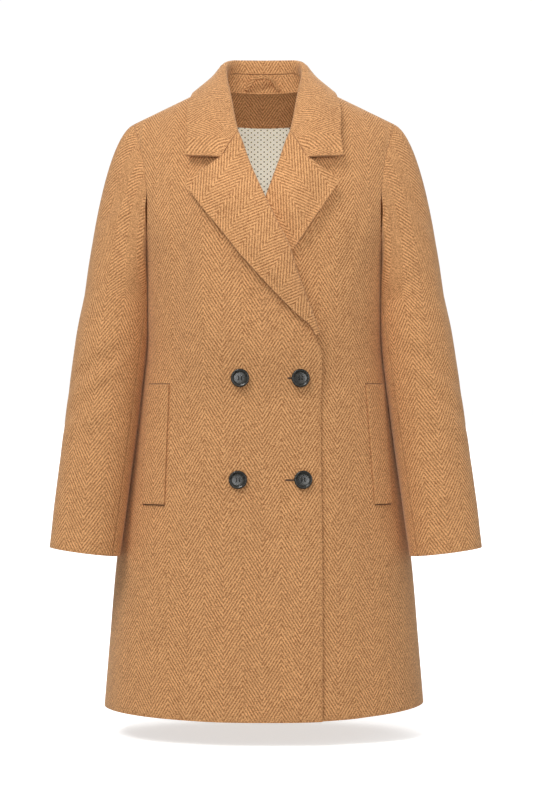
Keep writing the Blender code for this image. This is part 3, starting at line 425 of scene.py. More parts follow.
# Sleeve creases: height, turn in degrees, lean of the height per turn, half length and half
# turn, and how far the crease stands out or falls in.
CREASES = (
    (-0.155, 55.0, 0.0011, 0.010, 34.0, -0.0023),
    (-0.182, 62.0, 0.0012, 0.011, 36.0, 0.0018),
    (-0.300, 120.0, -0.0006, 0.012, 48.0, -0.0021),
    (-0.372, 75.0, 0.0005, 0.013, 42.0, 0.0014),
    (-0.398, 70.0, 0.0006, 0.011, 46.0, -0.0025),
    (-0.421, 78.0, 0.0005, 0.012, 44.0, 0.0021),
    (-0.446, 66.0, 0.0007, 0.011, 50.0, -0.0023),
    (-0.475, 80.0, 0.0004, 0.013, 46.0, 0.0016),
    (-0.505, 60.0, 0.0005, 0.012, 40.0, -0.0014),
    (-0.190, 285.0, -0.0012, 0.011, 40.0, -0.0025),
    (-0.225, 275.0, -0.0012, 0.012, 42.0, 0.0023),
    (-0.385, 275.0, -0.0004, 0.013, 46.0, 0.0019),
    (-0.415, 268.0, -0.0005, 0.012, 50.0, -0.0027),
    (-0.445, 278.0, -0.0004, 0.013, 46.0, 0.0021),
    (-0.580, 90.0, 0.0003, 0.020, 60.0, 0.0012),
    (-0.610, 270.0, -0.0003, 0.020, 60.0, -0.0014),
)

FLOOR = -0.945
FLOOR_REACH = 40.0
AMBIENT = 0.47
# each row: name, the way to the light, how wide it is in degrees, its strength
SUNS = (
    ("key", (-0.36, -0.52, 0.77), 22.0, 1.42),
    ("front", (0.04, -1.00, 0.02), 22.0, 0.88),
    ("fill", (0.80, -0.55, 0.25), 60.0, 0.34),
    ("back", (0.05, 0.80, 0.60), 30.0, 1.00),
)
# A soft round light from in front, into the neck: its place, what it looks at, its power.
NECK_LIGHT = ((0.03, -3.10, -0.24), (0.0, 0.0, -0.130), 84.0)
NECK_LIGHT_WIDE = 8.4
GROUND_GLOW = 0.56
GROUND_BOUNCE = 0.35
CAMERA_X = 0.0036
CAMERA_Z = -0.4487
FRONT_PLANE = -0.14
CAMERA_DISTANCE = 3.05
FRAME_HEIGHT = 1.144
SENSOR = 36.0

FOLDED_STRAPS = ("hanger_loop",)
cutters = []


# ---------------------------------------------------------------- curves and tables


def column(columns, rows, name):
    """One named column of a table."""
    return np.array([row[columns.index(name)] for row in rows], dtype=float)


def smooth(at, xs, ys):
    """A smooth curve through a table's points that never overshoots them."""
    at = np.asarray(at, dtype=float)
    step = np.diff(xs)
    slope = np.diff(ys) / step
    tangent = np.zeros(len(xs))
    tangent[0] = slope[0]
    tangent[-1] = slope[-1]
    for i in range(1, len(xs) - 1):
        if slope[i - 1] * slope[i] > 0:
            tangent[i] = 2 * slope[i - 1] * slope[i] / (slope[i - 1] + slope[i])
    i = np.clip(np.searchsorted(xs, at, side="right") - 1, 0, len(xs) - 2)
    t = np.clip((at - xs[i]) / step[i], 0, 1)
    rise = (2 * t**3 - 3 * t**2 + 1) * ys[i] + (3 * t**2 - 2 * t**3) * ys[i + 1]
    lean = (t**3 - 2 * t**2 + t) * tangent[i] + (t**3 - t**2) * tangent[i + 1]
    return rise + lean * step[i]


def from_table(columns, rows, name, at, key):
    """A column of a table, read smoothly at any value of its key column."""
    return smooth(at, column(columns, rows, key), column(columns, rows, name))


def ramp(at, low, high):
    """0 below low, 1 above high, eased between."""
    t = np.clip((np.asarray(at, dtype=float) - low) / (high - low), 0, 1)
    return t * t * (3 - 2 * t)


def lerp(a, b, t):
    return a + (b - a) * t


def unit(vectors):
    """The vectors, each brought to a length of 1."""
    return vectors / np.linalg.norm(vectors, axis=-1, keepdims=True)


# ---------------------------------------------------------------- the body's form


def shoulder_ridge(x):
    """Height of the shoulder seam's line, and of the neck's crest between the neck points."""
    x = np.abs(x)
    outside = NECK_POINT_HEIGHT - SHOULDER_SLOPE * (x - NECK_HALF_WIDTH)
    inside = NECK_POINT_HEIGHT + NECK_RISE * (1 - (x / NECK_HALF_WIDTH) ** 2)
    return np.where(x > NECK_HALF_WIDTH, outside, inside)


def section(name, z):
    """A measure of the body's section at a height."""
    return from_table(BODY_COLUMNS, BODY_SECTIONS, name, z, "height")


def half_width(z):
    return section("half_width", z)


def drape(x, z, side):
    """How far worn cloth stands out from, or falls in behind, the coat's plain form."""
    out = np.zeros(np.broadcast(x, z).shape)
    for face, at_x, at_z, lean, wide, tall, height in FOLDS:
        if face == side:
            off = (x - at_x - lean * (z - at_z)) / wide
            out = out + height * np.exp(-(off**2) - ((z - at_z) / tall) ** 2)
    low = ramp(-z, HANG_FROM, HANG_FULL)
    wide = np.sin(x * HANG_WIDE + side * HANG_SHIFT + HANG_SWAY * np.sin(z * HANG_BEND))
    narrow = HANG_NARROW_SHARE * np.sin(x * HANG_NARROW - z * HANG_LEAN + HANG_START)
    return out + (HANG_FRONT if side < 0 else HANG_BACK) * low * (wide + narrow)


def body_y(x, z, side):
    """Depth of the body's outer face at x and z: side is -1 for the front, 1 for the back."""
    depth = section("front_depth" if side < 0 else "back_depth", z)
    reach = FRONT_ROLL_DEPTH if side < 0 else BACK_ROLL_DEPTH
    power = FRONT_ROLL_POWER if side < 0 else BACK_ROLL_POWER
    across = np.clip(np.abs(x) / half_width(z), 0, 1)
    round_off = (1 - across**SECTION_POWER) ** (1 / SECTION_POWER)
    below = np.clip((shoulder_ridge(x) - z) / reach, 0, 1)
    roll_over = (1 - (1 - below) ** power) ** (1 / power)
    return side * (depth + drape(x, z, side) * round_off) * round_off * roll_over


def armhole_x(z, side):
    name = "front_x" if side < 0 else "back_x"
    return from_table(ARMHOLE_COLUMNS, ARMHOLE, name, z, "height")


# ---------------------------------------------------------------- walls from grids of points


def grid_normals(grid, towards):
    """Unit normals of a grid of points, on the side that the vector `towards` says."""
    along = np.gradient(grid, axis=0)
    across = np.gradient(grid, axis=1)
    normal = np.cross(along, across)
    normal /= np.maximum(np.linalg.norm(normal, axis=2, keepdims=True), 1e-12)
    middle = normal[grid.shape[0] // 2, grid.shape[1] // 2]
    return normal if np.dot(middle, towards) > 0 else -normal


def moved_out(grid, distance, towards):
    """The grid moved along its own normals by a distance, one for all or one for each point."""
    distance = np.asarray(distance, dtype=float)
    if distance.ndim == 2:
        distance = distance[:, :, None]
    return grid + grid_normals(grid, towards) * distance


def curve_through(points, count):
    """`count` points along a smooth curve through a few points, even in the points' own steps."""
    points = np.asarray(points, dtype=float)
    own = np.arange(len(points), dtype=float)
    at = np.linspace(0, len(points) - 1, count)
    padded = np.vstack([2 * points[0] - points[1], points, 2 * points[-1] - points[-2]])
    i = np.clip(np.floor(at).astype(int), 0, len(points) - 2)
    t = (at - own[i])[:, None]
    a, b, c, d = padded[i], padded[i + 1], padded[i + 2], padded[i + 3]
    return 0.5 * (2 * b + (c - a) * t + (2 * a - 5 * b + 4 * c - d) * t**2
                  + (3 * b - a - 3 * c + d) * t**3)


# ---------------------------------------------------------------- front and back panels


def front_lift(x, z):
    """How far the right front lies out over the left front and its lapel."""
    over = ramp(x, OVERLAP_START, OVERLAP_FULL)
    chest = OVER_LAPEL * ramp(z, OVER_LAPEL_LOW, OVER_LAPEL_HIGH)
    hem = OVER_FRONT * (1 - ramp(z, OVER_LAPEL_LOW, OVER_LAPEL_HIGH))
    return over * (chest + hem) * (1 - ramp(z, LIFT_ENDS_LOW, LIFT_ENDS_HIGH))


def no_lift(x, z):
    return np.zeros(np.broadcast(x, z).shape)


def body_point(x, z, out, side):
    """The point over x, z on the front or back face, moved out along the face's normal."""
    x, z = np.broadcast_arrays(np.asarray(x, dtype=float), np.asarray(z, dtype=float))
    y, step = body_y(x, z, side), SLOPE_STEP
    slope_x = (body_y(x + step, z, side) - body_y(x - step, z, side)) / (2 * step)
    slope_z = (body_y(x, z + step, side) - body_y(x, z - step, side)) / (2 * step)
    normal = np.stack([-side * slope_x, side * np.ones_like(x), -side * slope_z], axis=-1)
    return np.stack([x, y, z], axis=-1) + unit(normal) * np.asarray(out)[..., None]


def front_point(x, z, out):
    return body_point(x, z, out, -1)


def centre_front(z):
    """The middle that the two fronts mirror about: it moves aside where they overlap."""
    return CENTRE_SHIFT * (1 - ramp(z, CENTRE_SHIFT_LOW, CENTRE_SHIFT_HIGH))


def front_edge_x(z):
    """The right front's free edge and roll line, up to the neck point."""
    return from_table(FRONT_EDGE_COLUMNS, FRONT_EDGE, "edge_x", z, "height")


def panel_heights():
    """Rows from the hem to the armpit, then a 0 to 1 share of the way up to the shoulder seam."""
    lower = np.linspace(HEM, ARMPIT, ROWS_BELOW + 1)
    upper = (1 - np.cos(math.pi * np.linspace(0, 1, ROWS_ABOVE + 1)[1:])) / 2
    return lower, upper


def across_panel(x_from, x_to, width, count):
    """x values of a row, spaced evenly round the body's section."""
    turn_from, turn_to = (math.asin(max(-1.0, min(1.0, x / width))) for x in (x_from, x_to))
    return width * np.sin(np.linspace(turn_from, turn_to, count))


def hem_risen(x, z, rise):
    """Points of a panel lifted toward the side seams as the hem is, less and less upward."""
    width = half_width(z)
    share = np.clip((ARMPIT - z) / (ARMPIT - HEM), 0, 1)
    risen = z + rise * share * (x / width) ** 2
    return x * half_width(risen) / width, risen


def front_grid():
    """The right front from its side seam and armhole to its edge and roll line."""
    lower, upper = panel_heights()
    shoulder_height = float(shoulder_ridge(SHOULDER_HALF_WIDTH))
    rows = []
    for z in lower:
        width = float(half_width(z))
        inside = float(front_edge_x(z)) - roll_inset(z)
        x = across_panel(-width, inside, width, FRONT_COLUMNS)
        x, z = hem_risen(x, z, HEM_RISE_RIGHT)
        rows.append(np.stack([x, body_y(x, z, -1), z], axis=1))
    for share in upper:
        z_out = lerp(ARMPIT, shoulder_height, share)
        z_in = lerp(ARMPIT, NECK_POINT_HEIGHT, share)
        x_out = -float(armhole_x(z_out, -1))
        x_in = float(front_edge_x(z_in)) - roll_inset(z_in)
        x = across_panel(x_out, x_in, max(float(half_width(z_out)), -x_out), FRONT_COLUMNS)
        z = lerp(z_out, z_in, (x - x_out) / (x_in - x_out))
        z = np.minimum(z, shoulder_ridge(x))
        rows.append(np.stack([x, body_y(x, z, -1), z], axis=1))
    grid = np.array(rows)
    grid[:, :, 1] = np.minimum(grid[:, :, 1], -SEAM_GAP / 2)
    return grid


def seam_normals(grid, towards, side_columns, top_row):
    """Grid normals, turned square to the side seams and the shoulder seam along those edges."""
    normal = grid_normals(grid, towards)
    for c in side_columns:
        normal[: ROWS_BELOW + 1, c, 1] = 0
    if top_row:
        over_shoulder = np.abs(grid[-1, :, 0]) > NECK_HALF_WIDTH - 0.001
        normal[-1, over_shoulder, 1] = 0
    return unit(normal)


def mirrored_front(grid):
    """The left front: the right one mirrored about the middle where the fronts overlap."""
    other = grid.copy()
    aside = 1 - ramp(-grid[:, :, 0], MIRROR_FADE_FROM, MIRROR_FADE_TO)
    other[:, :, 0] = -grid[:, :, 0] + 2 * centre_front(grid[:, :, 2]) * aside
    x, z = hem_risen(other[:, :, 0], other[:, :, 2], HEM_RISE_LEFT - HEM_RISE_RIGHT)
    other[:, :, 0], other[:, :, 2] = x, z
    other[:, :, 1] = np.minimum(body_y(other[:, :, 0], other[:, :, 2], -1), -SEAM_GAP / 2)
    side = np.abs(grid[:, :, 0]) > MIRROR_FADE_TO
    other[side, 1] = grid[side, 1]
    return other


def back_top(x):
    """Top edge of the back: shoulder seam, neck seam, shoulder seam."""
    neck = BACK_NECK_HEIGHT + (NECK_POINT_HEIGHT - BACK_NECK_HEIGHT) * (x / NECK_HALF_WIDTH) ** 2
    return np.where(np.abs(x) < NECK_HALF_WIDTH, neck, shoulder_ridge(x))


def back_grid(top=back_top):
    """The back from side seam to side seam, up to its armholes, shoulder seams and neck."""
    lower, upper = panel_heights()
    shoulder_height = float(shoulder_ridge(SHOULDER_HALF_WIDTH))
    rows = []
    for z in lower:
        width = float(half_width(z))
        x = across_panel(-width, width, width, BACK_COLUMNS)
        x, z = hem_risen(x, z, np.where(x < 0, HEM_RISE_RIGHT, HEM_RISE_LEFT))
        rows.append(np.stack([x, body_y(x, z, 1), z], axis=1))
    top_x = across_panel(-SHOULDER_HALF_WIDTH, SHOULDER_HALF_WIDTH, SHOULDER_SECTION, BACK_COLUMNS)
    for share in upper:
        z_out = lerp(ARMPIT, shoulder_height, share)
        x_out = float(armhole_x(z_out, 1))
        x = across_panel(-x_out, x_out, max(float(half_width(z_out)), x_out), BACK_COLUMNS)
        z = lerp(ARMPIT, top(lerp(x, top_x, share)), share)
        z = np.minimum(z, shoulder_ridge(x))
        rows.append(np.stack([x, body_y(x, z, 1), z], axis=1))
    grid = np.array(rows)
    grid[:, :, 1] = np.maximum(grid[:, :, 1], SEAM_GAP / 2)
    return grid


# ---------------------------------------------------------------- sleeves


def sleeve_ring(height, turns):
    """One ring of the left sleeve, square to its axis. Turn 0 is the outer side, 90 the front."""
    centre_x, centre_y, half_across, half_deep = (
        float(from_table(SLEEVE_COLUMNS, SLEEVE, name, -height, "below"))
        for name in ("centre_x", "centre_y", "half_width", "half_depth")
    )
    lean = math.radians(SLEEVE_LEAN)
    out = half_across * np.cos(turns)
    return np.stack(
        [
            centre_x + out * math.cos(lean),
            centre_y - half_deep * np.sin(turns),
            height + out * math.sin(lean),
        ],
        axis=1,
    )


def armhole_ring():
    """The left armhole's points and normals, from the shoulder down the front and up the back."""
    front, back = front_grid(), back_grid()
    front_normal = seam_normals(front, FACE_FRONT, (0,), True)
    back_normal = seam_normals(back, FACE_BACK, (0, -1), True)
    mirror = np.array([-1, 1, 1])
    edge = slice(ROWS_BELOW, None)
    points = np.concatenate([front[edge, 0][::-1], back[edge, 0][1:-1]]) * mirror
    normals = np.concatenate([front_normal[edge, 0][::-1], back_normal[edge, 0][1:-1]]) * mirror
    return points, normals


def clear_of_body(points, turns):
    """Rows of sleeve points moved out sideways until they clear the body's side."""
    z = points[..., 2]
    row = np.arange(len(points))[:, None]
    gap = SLEEVE_CLEARANCE * ramp(row, 0, CLEARANCE_ROWS) + 2 * SEAM_GAP
    depth = np.where(points[..., 1] < 0, section("front_depth", z), section("back_depth", z)) + gap
    inside = np.clip(np.abs(points[..., 1]) / depth, 0, 1)
    limit = (half_width(z) + gap) * (1 - inside**SECTION_POWER) ** (1 / SECTION_POWER)
    underarm = np.broadcast_to(ramp(-np.cos(turns), 0.0, UNDERARM_COSINE), z.shape)
    share = np.where(z < ARMPIT, 1.0, underarm)
    moved = points.copy()
    moved[..., 0] += share * np.maximum(limit - points[..., 0], 0)
    return moved


def sleeve_grid():
    """The whole left sleeve from armhole to cuff, a column for each point of the armhole."""
    turns = np.radians(np.arange(2 * ROWS_ABOVE) * 180.0 / ROWS_ABOVE)
    start, start_normal = armhole_ring()
    first = sleeve_ring(CAP_ENDS, turns)
    length = np.linalg.norm(first - start, axis=1, keepdims=True)
    top = ((1 + np.cos(turns)) / 2) ** 2
    sideways, forward = CAP_OUT_BELOW + CAP_OUT * top, -CAP_ROUND * np.sin(turns)
    away = unit(np.stack([sideways, forward, -1 + CAP_RISE * top], axis=1))
    lean = math.radians(SLEEVE_LEAN)
    down = np.array([math.sin(lean), -SLEEVE_FORWARD, -math.cos(lean)])
    start = start + away * SEAM_GAP * 1.5
    rows = []
    for t in np.linspace(0, 1, CAP_ROWS + 1)[:-1]:
        rows.append(
            (2 * t**3 - 3 * t**2 + 1) * start
            + (t**3 - 2 * t**2 + t) * away * length * CAP_FULLNESS
            + (3 * t**2 - 2 * t**3) * first
            + (t**3 - t**2) * down * length * CAP_FALL
        )
    for height in np.linspace(CAP_ENDS, CUFF, SLEEVE_ROWS):
        rows.append(sleeve_ring(height, turns))
    grid = clear_of_body(np.array(rows), turns)
    ring = np.concatenate([grid[:, -1:], grid, grid[:, :1]], axis=1)
    normal = unit(np.cross(np.gradient(ring, axis=0), np.gradient(ring, axis=1))[:, 1:-1])
    outer_side = normal[ROWS_ABOVE, 0, 0]
    normal = normal if outer_side > 0 else -normal
    over = ramp(np.cos(turns), 0.0, CAP_BLEND_COSINE)[:, None]
    normal[0] = unit(lerp(normal[1], start_normal, over))
    grid = grid + normal * creased(grid, turns)[..., None]
    return grid, normal


def creased(grid, turns):
    """How far each point of the left sleeve stands out, in its creases."""
    z = grid[..., 2]
    angle = np.broadcast_to(np.degrees(turns), z.shape)
    out = np.zeros(z.shape)
    for at_z, at_turn, lean, tall, wide, height in CREASES:
        off = (angle - at_turn + 180.0) % 360.0 - 180.0
        out += height * np.exp(-(((z - at_z - lean * off) / tall) ** 2) - (off / wide) ** 2)
    rows = np.arange(len(grid))[:, None]
    ends = ramp(rows, *CREASE_ROWS_CAP) * ramp(len(grid) - rows, *CREASE_ROWS_CUFF)
    return out * ends * ramp(np.cos(turns), *CREASE_COSINES)


def cuff_drifted(grid, arm):
    """The sleeve hangs a little to the wearer's left: the left one by its outer side only."""
    inner, outer = grid[..., 0].min(axis=1, keepdims=True), grid[..., 0].max(axis=1, keepdims=True)
    share = (grid[..., 0] - inner) / (outer - inner) if arm == "left" else 1.0
    drifted = grid.copy()
    drifted[..., 0] += CUFF_DRIFT * share * ramp(-grid[..., 2], -ARMPIT, -CUFF)
    return drifted


def sleeve_piece(grid, first, last):
    """Columns of a closed ring from one seam to the next, each end short of its seam."""
    count = grid.shape[1]
    columns = [c % count for c in range(first, last + 1)]
    piece = grid[:, columns].copy()
    short = SLEEVE_SEAM_TURN * ROWS_ABOVE / 180.0
    piece[:, 0] = lerp(grid[:, columns[0]], grid[:, columns[1]], short)
    piece[:, -1] = lerp(grid[:, columns[-1]], grid[:, columns[-2]], short)
    return piece


# ---------------------------------------------------------------- lapels


def roll_inset(z):
    """How far the front panel stops short of the roll line, where the lapel folds over it."""
    folded = ramp(z, FOLD_ENDS - 0.03, FOLD_ENDS - 0.01) * (1 - ramp(z, *FOLD_UNDER_COLLAR))
    return float((lapel_radius(z) + FOLD_CLEARANCE) * folded)


def lapel_radius(z):
    return lerp(ROLL_RADIUS, ROLL_RADIUS_AT_COLLAR, ramp(z, *COLLAR_ROLL))


def free_swell(run):
    """How far a lapel or collar leaf swells off the front, by its share of the way to the edge."""
    return LAPEL_SWELL * np.sin(math.pi * np.minimum(run * 1.15, 1)) + LAPEL_EDGE_STAND * run**1.5


def folded_section(width, radius, steps):
    """Round a fold and on to the edge: distance from the roll line, height, share of the way."""
    turn = np.linspace(-math.pi / 2, math.pi / 2, BEND_STEPS)
    run = np.linspace(0, 1, steps + 1)[1:]
    across = np.concatenate([radius * (1 - np.cos(turn)), radius + (width - radius) * run])
    return across, -WALL + radius * (1 + np.sin(turn)), run


def lapel_section(width, radius):
    """A lapel's section: distance from the roll line, height over the front, and free swell."""
    across, height, run = folded_section(width, radius, LAPEL_STEPS)
    height = np.concatenate([height, np.full(LAPEL_STEPS, height[-1])])
    return across, height, np.concatenate([np.zeros(BEND_STEPS), free_swell(run)])


def free_on_top(_, z):
    """1 where the right lapel swells freely, 0 where it narrows into the break."""
    return ramp(z, *FREE_ON_TOP)


def free_underneath(x, z):
    """1 where the left lapel swells freely, 0 where the right front presses it flat."""
    return ramp(x - front_edge_x(z), *FREE_UNDERNEATH)


def lapel_grid(lift, mirror, free):
    """The face between a lapel's two layers: a row for each place along the roll line."""
    rolls = column(LAPEL_COLUMNS, LAPEL, "roll_height")
    own = np.linspace(0, 1, len(LAPEL))
    rows = []
    for share in np.linspace(0, 1, LAPEL_ROWS):
        z_roll = float(np.interp(share, own, rolls))
        x_edge = float(smooth(share, own, column(LAPEL_COLUMNS, LAPEL, "edge_x")))
        z_edge = float(smooth(share, own, column(LAPEL_COLUMNS, LAPEL, "edge_height")))
        roll = np.array([float(front_edge_x(z_roll)), z_roll])
        edge = np.array([x_edge, z_edge])
        if mirror:
            edge = roll + (edge - roll) * LEFT_LAPEL_WIDTH
            roll[0] = -roll[0] + 2 * float(centre_front(roll[1]))
            edge[0] = -edge[0] + 2 * float(centre_front(edge[1]))
        span = edge - roll
        width = float(np.linalg.norm(span))
        across, height, swell = lapel_section(width, float(lapel_radius(z_roll)))
        line = roll + span / width * across[:, None]
        if share < NOTCH_FADE:
            at_notch = across[BEND_STEPS + NOTCH_STEP - 1] / width
            reach = np.interp(across / width, (0, at_notch, 1), (0, 1, 0))
            corner = np.array(NOTCH) * (-1 if mirror else 1, 1) - (roll + span * at_notch)
            line += corner * reach[:, None] * (1 - share / NOTCH_FADE)
        x, z = line.T
        rows.append(front_point(x, z, height + swell * free(x, z) + lift(x, z)))
    return np.array(rows)


# ---------------------------------------------------------------- collar


def gorge_station():
    """The collar's last station: along the gorge seam to the notch, then to the collar point."""
    z_roll = LAPEL[0][LAPEL_COLUMNS.index("roll_height")]
    roll = np.array([float(front_edge_x(z_roll)), z_roll])
    notch, point = np.array(NOTCH), np.array(COLLAR_POINT) * (-1, 1)
    span = notch - roll
    width = float(np.linalg.norm(span))
    across, height, run = folded_section(width, float(lapel_radius(z_roll)), NOTCH_STEP)
    at = roll + span / width * across[:, None]
    beyond = np.linspace(0, 1, COLLAR_STEPS - NOTCH_STEP + 1)[1:, None]
    at = np.concatenate([at, notch + (point - notch) * beyond])
    at_notch = NOTCH_STEP / LAPEL_STEPS
    share = np.concatenate([at_notch * run, at_notch + (1 - at_notch) * beyond[:, 0]])
    swell = np.concatenate([np.zeros(BEND_STEPS), free_swell(share)])
    height = np.concatenate([height, np.full(COLLAR_STEPS, height[-1])]) + swell
    points = front_point(at[:, 0], at[:, 1], height)
    points[:, 0] *= -1
    return points


def back_station(row):
    """A collar station away from the gorge: up the stand side, over the roll, down the fall."""
    seam, roll, fall, edge = (np.array(part) for part in row)
    up_inside, down_outside = unit(seam - roll), unit(fall - roll)
    apart = unit(down_outside - up_inside)
    inner = roll + up_inside * COLLAR_BEND - apart * COLLAR_BEND_SPREAD
    outer = roll + down_outside * COLLAR_BEND + apart * COLLAR_BEND_SPREAD
    bend = curve_through([seam, inner, roll, outer], BEND_STEPS + 1)[:-1]
    fall_side = curve_through([outer, fall, edge], COLLAR_STEPS)
    return np.concatenate([bend, fall_side])


def both_sides(half):
    """The wearer's right half, mirrored from the left one, and then the left one."""
    return np.concatenate([(half[1:] * np.array([-1, 1, 1]))[::-1], half])


def collar_grid():
    """The fall's middle face, a row from its seam to its edge and a column round the neck."""
    whole = both_sides(np.array([back_station(row) for row in COLLAR] + [gorge_station()]))
    lines = [curve_through(whole[:, i], COLLAR_COLUMNS_ROUND) for i in range(whole.shape[1])]
    grid = np.array(lines)
    for end, before in ((0, 1), (-1, -2)):
        grid[:, end] += unit(grid[:, before] - grid[:, end]) * GORGE_GAP
    return grid


def neck_seam():
    """The neck seam on the body's outer face, from the middle of the back to the left gorge."""
    points = []
    for x in NECK_BACK_X:
        z = float(back_top(x))
        points.append((x, float(body_y(x, z, 1)) - WALL / 2, z - WALL / 3))
    points.append((NECK_HALF_WIDTH, 0.0, NECK_POINT_HEIGHT - WALL / 2))
    for z in NECK_FRONT_HEIGHTS:
        points.append(front_point(-float(front_edge_x(z)), z, -WALL / 2))
    return np.array(points)


def stand_grid():
    """The stand, from the neck seam up to its seam with the fall, all round the neck."""
    fall_seam = np.array([row[0] for row in COLLAR] + [gorge_station()[0]])
    lows, highs = (
        curve_through(both_sides(seam), COLLAR_COLUMNS_ROUND)[STAND_INSET:-STAND_INSET]
        for seam in (neck_seam(), fall_seam)
    )
    up = unit(highs - lows)
    share = np.linspace(0, 1, STAND_ROWS)[:, None, None]
    return lerp((lows + up * NECK_SEAM_RISE)[None], (highs - up * STAND_SEAM_GAP)[None], share)


# ---------------------------------------------------------------- shells and their flat cut

def put(name, data):
    """A new object in the scene."""
    made = bpy.data.objects.new(name, data)
    bpy.context.scene.collection.objects.link(made)
    return made


def link(name, mesh, finish, nodes):
    """A piece in the scene, riding on the coat, in place of the solids that it stands for."""
    mesh.shade_smooth()
    mesh.materials.append(finish)
    piece = put(name, mesh)
    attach(piece, "root")
    if nodes:
        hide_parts(*nodes)
    return piece


def turned_edge(flat, outer, inner):
    """The flat cut carried on round the shell's edges, by its thickness."""
    outward = np.zeros_like(flat)
    outward[0] += flat[0] - flat[1]
    outward[-1] += flat[-1] - flat[-2]
    outward[:, 0] += flat[:, 0] - flat[:, 1]
    outward[:, -1] += flat[:, -1] - flat[:, -2]
    length = np.linalg.norm(outward, axis=2, keepdims=True)
    thick = np.linalg.norm(outer - inner, axis=2, keepdims=True)
    return flat + outward / np.maximum(length, 1e-9) * thick


def rim_ids(rows, cols):
    """The points round a grid's edge, in order."""
    rim = [(0, c) for c in range(cols)]
    rim += [(r, cols - 1) for r in range(1, rows)]
    rim += [(rows - 1, c) for c in range(cols - 2, -1, -1)]
    rim += [(r, 0) for r in range(rows - 2, 0, -1)]
    return [r * cols + c for r, c in rim]


def shell_faces(rows, cols, steps):
    """The faces of two grids, and of the strip that closes them along the rim's steps."""
    count = rows * cols
    faces = []
    for r in range(rows - 1):
        for c in range(cols - 1):
            a, b = r * cols + c, r * cols + c + 1
            d, e = a + cols, b + cols
            faces.append((a, b, e, d))
            faces.append((count + a, count + d, count + e, count + b))
    return faces + [(b, a, count + a, count + b) for a, b in steps]


def lay_flat(mesh, outer, inner, flat, strip_from):
    """Gives a shell its flat cut as UV, carried on over the strip round its edges."""
    layer = mesh.uv_layers.new(name="cut")
    corner = np.empty(len(mesh.loops), dtype=np.int32)
    mesh.loops.foreach_get("vertex_index", corner)
    count = flat.shape[0] * flat.shape[1]
    cut = np.concatenate([flat.reshape(-1, 2)] * 2)[corner]
    on_strip = (np.arange(len(corner)) >= strip_from) & (corner >= count)
    cut[on_strip] = turned_edge(flat, outer, inner).reshape(-1, 2)[corner[on_strip] - count]
    layer.data.foreach_set("uv", cut.ravel())


def mark_rim(mesh, ids, steps, count):
    """Marks a shell's rim points, and weighs the edges between them to be rounded."""
    at_edge = np.zeros(2 * count, dtype=np.float32)
    at_edge[ids + [count + i for i in ids]] = 1.0
    mesh.attributes.new("edge", "FLOAT", "POINT").data.foreach_set("value", at_edge)
    ends = np.empty(2 * len(mesh.edges), dtype=np.int32)
    mesh.edges.foreach_get("vertices", ends)
    rim = {frozenset((a + move, b + move)) for a, b in steps for move in (0, count)}
    weight = np.array([float(frozenset(pair) in rim) for pair in ends.reshape(-1, 2).tolist()])
    mesh.attributes.new("bevel_weight_edge", "FLOAT", "EDGE").data.foreach_set("value", weight)


def shell_mesh(name, outer, inner, flat):
    """A closed shell between two grids, with its flat cut as UV and its rim marked."""
    rows, cols = outer.shape[:2]
    count = rows * cols
    ids = rim_ids(rows, cols)
    steps = list(zip(ids, ids[1:] + ids[:1]))
    faces = shell_faces(rows, cols, steps)
    r, c = rows // 2, cols // 2
    out = np.cross(outer[r, c] - outer[r, c - 1], outer[r, c] - outer[r - 1, c])
    if np.dot(out, outer[r, c] - inner[r, c]) < 0:
        faces = [face[::-1] for face in faces]
    vertices = np.concatenate([outer.reshape(-1, 3), inner.reshape(-1, 3)])
    mesh = bpy.data.meshes.new(name)
    mesh.from_pydata([tuple(v) for v in vertices], [], faces)
    lay_flat(mesh, outer, inner, flat, 4 * (len(faces) - len(ids)))
    mark_rim(mesh, ids, steps, count)
    return mesh


def add_shell(name, outer, inner, flat, finish):
    mesh = shell_mesh(name, outer, inner, flat)
    thick = float(np.median(np.linalg.norm(outer - inner, axis=2)))
    piece = link(name + "_cloth", mesh, finish, (name,))
    bevel = piece.modifiers.new("rounded_rim", "BEVEL")
    bevel.limit_method = "WEIGHT"
    bevel.width = thick * RIM_ROUND
    bevel.segments = 3
    if name in FOLDED_STRAPS:
        return piece
    return piece


def lengths_along(grid, axis):
    """Distance along the grid's rows or columns, from the first point."""
    step = np.linalg.norm(np.diff(grid, axis=axis), axis=2)
    zero = np.zeros_like(np.take(step, [0], axis=axis))
    return np.concatenate([zero, np.cumsum(step, axis=axis)], axis=axis)


def body_cut(grid, side):
    """Flat cut of a body panel: distance round the section from the middle, and up the cloth."""
    x, z = grid[..., 0], grid[..., 2]
    turn = np.arcsin(np.clip(x / np.maximum(half_width(z), np.abs(x) + 1e-6), -1, 1))
    at = turn[..., None] * np.linspace(0, 1, CUT_STEPS)
    width = np.maximum(half_width(z), np.abs(x) + 1e-6)[..., None]
    across = width * np.sin(at)
    deep = body_y(across, np.broadcast_to(z[..., None], across.shape), side)
    around = np.hypot(np.diff(across, axis=-1), np.diff(deep, axis=-1)).sum(axis=-1) * np.sign(x)
    low = np.minimum(z, shoulder_ridge(x) - FRONT_ROLL_DEPTH)
    up = low[..., None] + (z - low)[..., None] * np.linspace(0, 1, CUT_STEPS)
    over = body_y(np.broadcast_to(x[..., None], up.shape), up, side)
    rise = np.hypot(np.diff(up, axis=-1), np.diff(over, axis=-1)).sum(axis=-1)
    return np.stack([around, low + rise], axis=-1)


def turned_cut(grid, angle):
    """Flat cut of a nearly level piece seen from the front, its grain turned by an angle."""
    x, z = grid[..., 0], grid[..., 2]
    cos, sin = math.cos(angle), math.sin(angle)
    return np.stack([x * cos + z * sin, z * cos - x * sin], axis=-1)


# ---------------------------------------------------------------- materials


